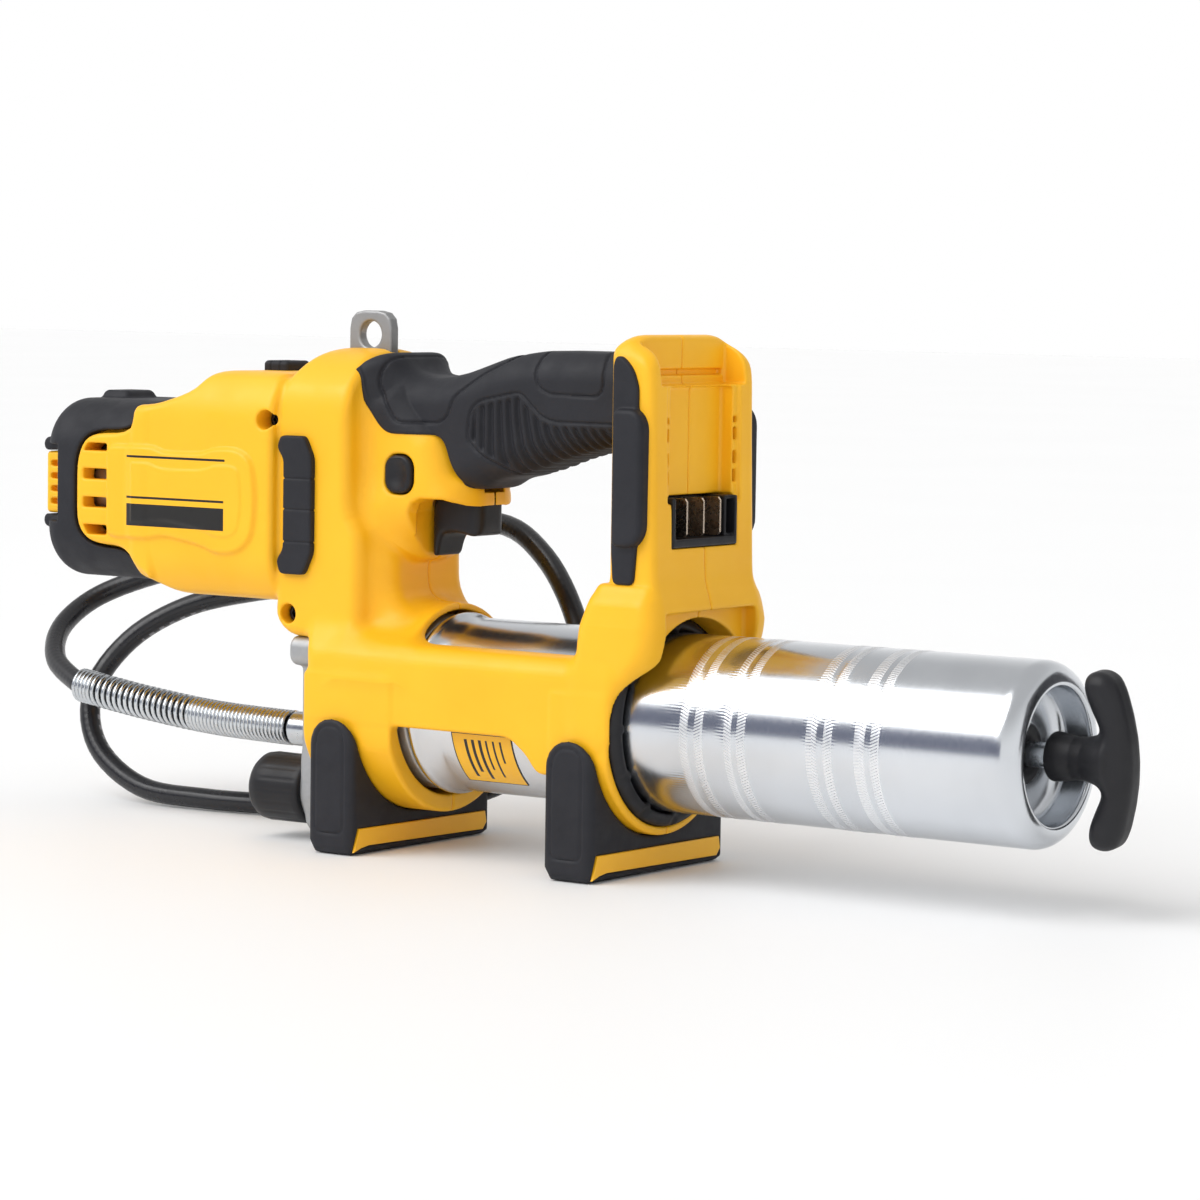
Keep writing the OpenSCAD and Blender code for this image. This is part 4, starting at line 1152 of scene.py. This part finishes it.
def add_handle():
    s = Block((178, -10, -31), (216, 10, 31), 0.4 * FINE)
    half = [(204.5, -7), (203.2, -11), (200.8, -16), (198.9, -20.5), (198.6, -24.5), (200.4, -27.2),
            (204.5, -27.8), (208.2, -26), (210.4, -21.5), (212.4, -14), (213.6, -7), (214, 0)]
    bar = half + [(x, -z) for x, z in reversed(half[:-1])]
    outline = polygon(s.x, s.z, rounded(bar, 2))
    crossbar = both(outline, np.abs(s.y) - 6.3, 4.8)
    radial = np.hypot(s.y, s.z)
    width = np.interp(s.x.ravel(), [178, 186, 190, 194, 198, 203, 208], [7.8, 7.8, 7.4, 6.6, 6.8, 8.2, 9])
    stem = both(radial - width[:, None, None].astype(np.float32), np.abs(s.x - 196.5) - 10.5, 1.2)
    shape = join(crossbar, stem, 4)
    shape = cut(shape, rod_x(s, 170, 188, 4.02))
    handle = solid("pull_handle", s, shape)
    turn = Quaternion((1, 0, 0), math.radians(6))
    handle.rotation_mode = "QUATERNION"
    handle.rotation_quaternion = turn
    handle.location = (0, 0, AXIS_Z * MM)
    finish_piece(handle, "rod", "black_plastic", "t_handle")


# ---------- controls ----------

def add_trigger():
    s = Block((-50.5, -9.5, 97), (-26, 9.5, 131), 0.35 * FINE)
    outline = [
        (-48.8, 101.5), (-48, 99.2), (-46.6, 98.6), (-45.4, 99.6), (-44.8, 103), (-43.6, 106),
        (-41, 107.1), (-35.5, 106.8), (-31, 105.8), (-28.5, 106.6), (-27.7, 109.5), (-27.7, 118.4),
        (-45.8, 118.4), (-48.8, 113.6)]
    half = 8 - 0.6 * np.clip((106 - s.z) / 6, 0, 1)
    shape = both(polygon(s.x, s.z, rounded(outline, 2)), np.abs(s.y) - half, 1.8)
    shape = both(shape, rectangle(s.x, s.y, (-38.25, 0), (21.1, 16), 5), 0.6)
    stem = both(np.hypot(s.x + 38, s.y) - 2.5, np.abs(s.z - 124) - 6, 0.5)
    shape = join(shape, stem, 0.5)
    finish_piece(solid("squeeze_trigger", s, shape), "trigger", "black_plastic", "trigger")


def add_button():
    s = Block((-59.5, -22, 118), (-45, 22, 134.5), 0.35 * FINE)
    flat = rectangle(s.x, s.z, (-52.4, 126.2), (11, 12.6), 4.4)
    shape = both(flat, np.abs(s.y) - 20.7, 1.2)
    dish = np.hypot(np.hypot(s.x + 52.4, (s.z - 126.2) * 0.8), np.abs(s.y) - 27) - 7.4
    shape = cut(shape, dish, 0.6)
    finish_piece(solid("lock_slider", s, shape), "lock_button", "black_plastic", "lock_button")


# ---------- stage ----------

def add_floor():
    points = [(-9000, -9000, 0), (9000, -9000, 0), (9000, 9000, 0), (-9000, 9000, 0)]
    floor = new_object("floor", points, [(0, 1, 2, 3)], smooth=False)
    paint = Paint("floor_white", (0.93, 0.93, 0.93), 0.6)
    patches = paint.span(paint.noise(3, 2), 0, 1)
    paint.set("Base Color", paint.blend(patches, (0.93, 0.93, 0.93), (0.92, 0.92, 0.92)))
    floor.data.materials.append(paint.material)
    floor.location.z = -0.0002


def add_card(name, centre, size, turn, color):
    """A card off camera, there only to be seen in the shiny metal and the gloss."""
    w, h = size[0] / 2, size[1] / 2
    card = new_object(name, [(-w, 0, -h), (w, 0, -h), (w, 0, h), (-w, 0, h)], [(0, 1, 2, 3)], smooth=False)
    card.location = Vector(centre) * MM
    card.rotation_euler.z = math.radians(turn)
    card.data.materials.append(Paint(name, color, 1.0).material)
    card.visible_camera = False
    card.visible_shadow = False
    card.visible_diffuse = False


def add_area(name, place, target, size, power, color=(1, 1, 1)):
    data = bpy.data.lights.new(name, "AREA")
    data.shape = "RECTANGLE"
    data.size, data.size_y = size
    data.energy = power
    data.color = color
    light = bpy.data.objects.new(name, data)
    bpy.context.collection.objects.link(light)
    light.location = place
    light.rotation_mode = "QUATERNION"
    light.rotation_quaternion = (Vector(target) - Vector(place)).to_track_quat("-Z", "Y")


def add_light():
    scene = bpy.context.scene
    scene.view_settings.view_transform = "Standard"
    world = bpy.data.worlds.new("studio")
    world.use_nodes = True
    nodes, links = world.node_tree.nodes, world.node_tree.links
    place = nodes.new("ShaderNodeTexCoord")
    split = nodes.new("ShaderNodeSeparateXYZ")
    ramp = nodes.new("ShaderNodeMapRange")
    for name, value in (("From Min", 0.2), ("From Max", 0.7), ("To Min", 1.0), ("To Max", 0.62)):
        ramp.inputs[name].default_value = value
    links.new(place.outputs["Generated"], split.inputs["Vector"])
    links.new(split.outputs["Z"], ramp.inputs["Value"])
    links.new(ramp.outputs["Result"], nodes["Background"].inputs["Strength"])
    nodes["Background"].inputs["Color"].default_value = (1, 1, 1, 1)
    scene.world = world
    sun = bpy.data.lights.new("sun", "SUN")
    sun.energy = 1.6
    sun.angle = math.radians(50)
    lamp = bpy.data.objects.new("sun", sun)
    bpy.context.collection.objects.link(lamp)
    lamp.rotation_euler = (math.radians(42), 0, math.radians(-28))
    add_area("strip", (-0.9, -1.25, 1.15), (0, 0, 0.08), (2.2, 0.45), 4)
    add_card("low_card", (-1100, -2100, 480), (4200, 900), -28, (0.16, 0.175, 0.25))
    add_card("end_card", (1500, 1300, 520), (1900, 1100), -48, (0.03, 0.03, 0.035))


# ---------- the CAD pieces that stay ----------

def dress_cad_nodes():
    """CAD nodes that are still shown get the material of their slot."""
    for part in frame["record"]["subparts"]:
        obj = frame["nodes"][part["node"]]
        if not obj.hide_render:
            obj.data.materials.clear()
            obj.data.materials.append(materials[part["material_slot"]])


materials = make_materials()

add_camera()
add_hose()
add_shell()
add_grip()
add_front_cap()
add_grille()
add_top_pad()
add_side_pads()
add_column_bumpers()
add_foot("foot_front", "front_foot", -56.0)
add_foot("foot_rear", "rear_foot", 41.0)
add_stripes()
add_lug()
add_terminals()
add_collar()
add_screws()
add_pump_head()
add_knob()
add_fitting()
add_clip()
add_barrel()
add_label()
add_bush()
add_handle()
add_trigger()
add_button()
dress_cad_nodes()
add_floor()
add_light()
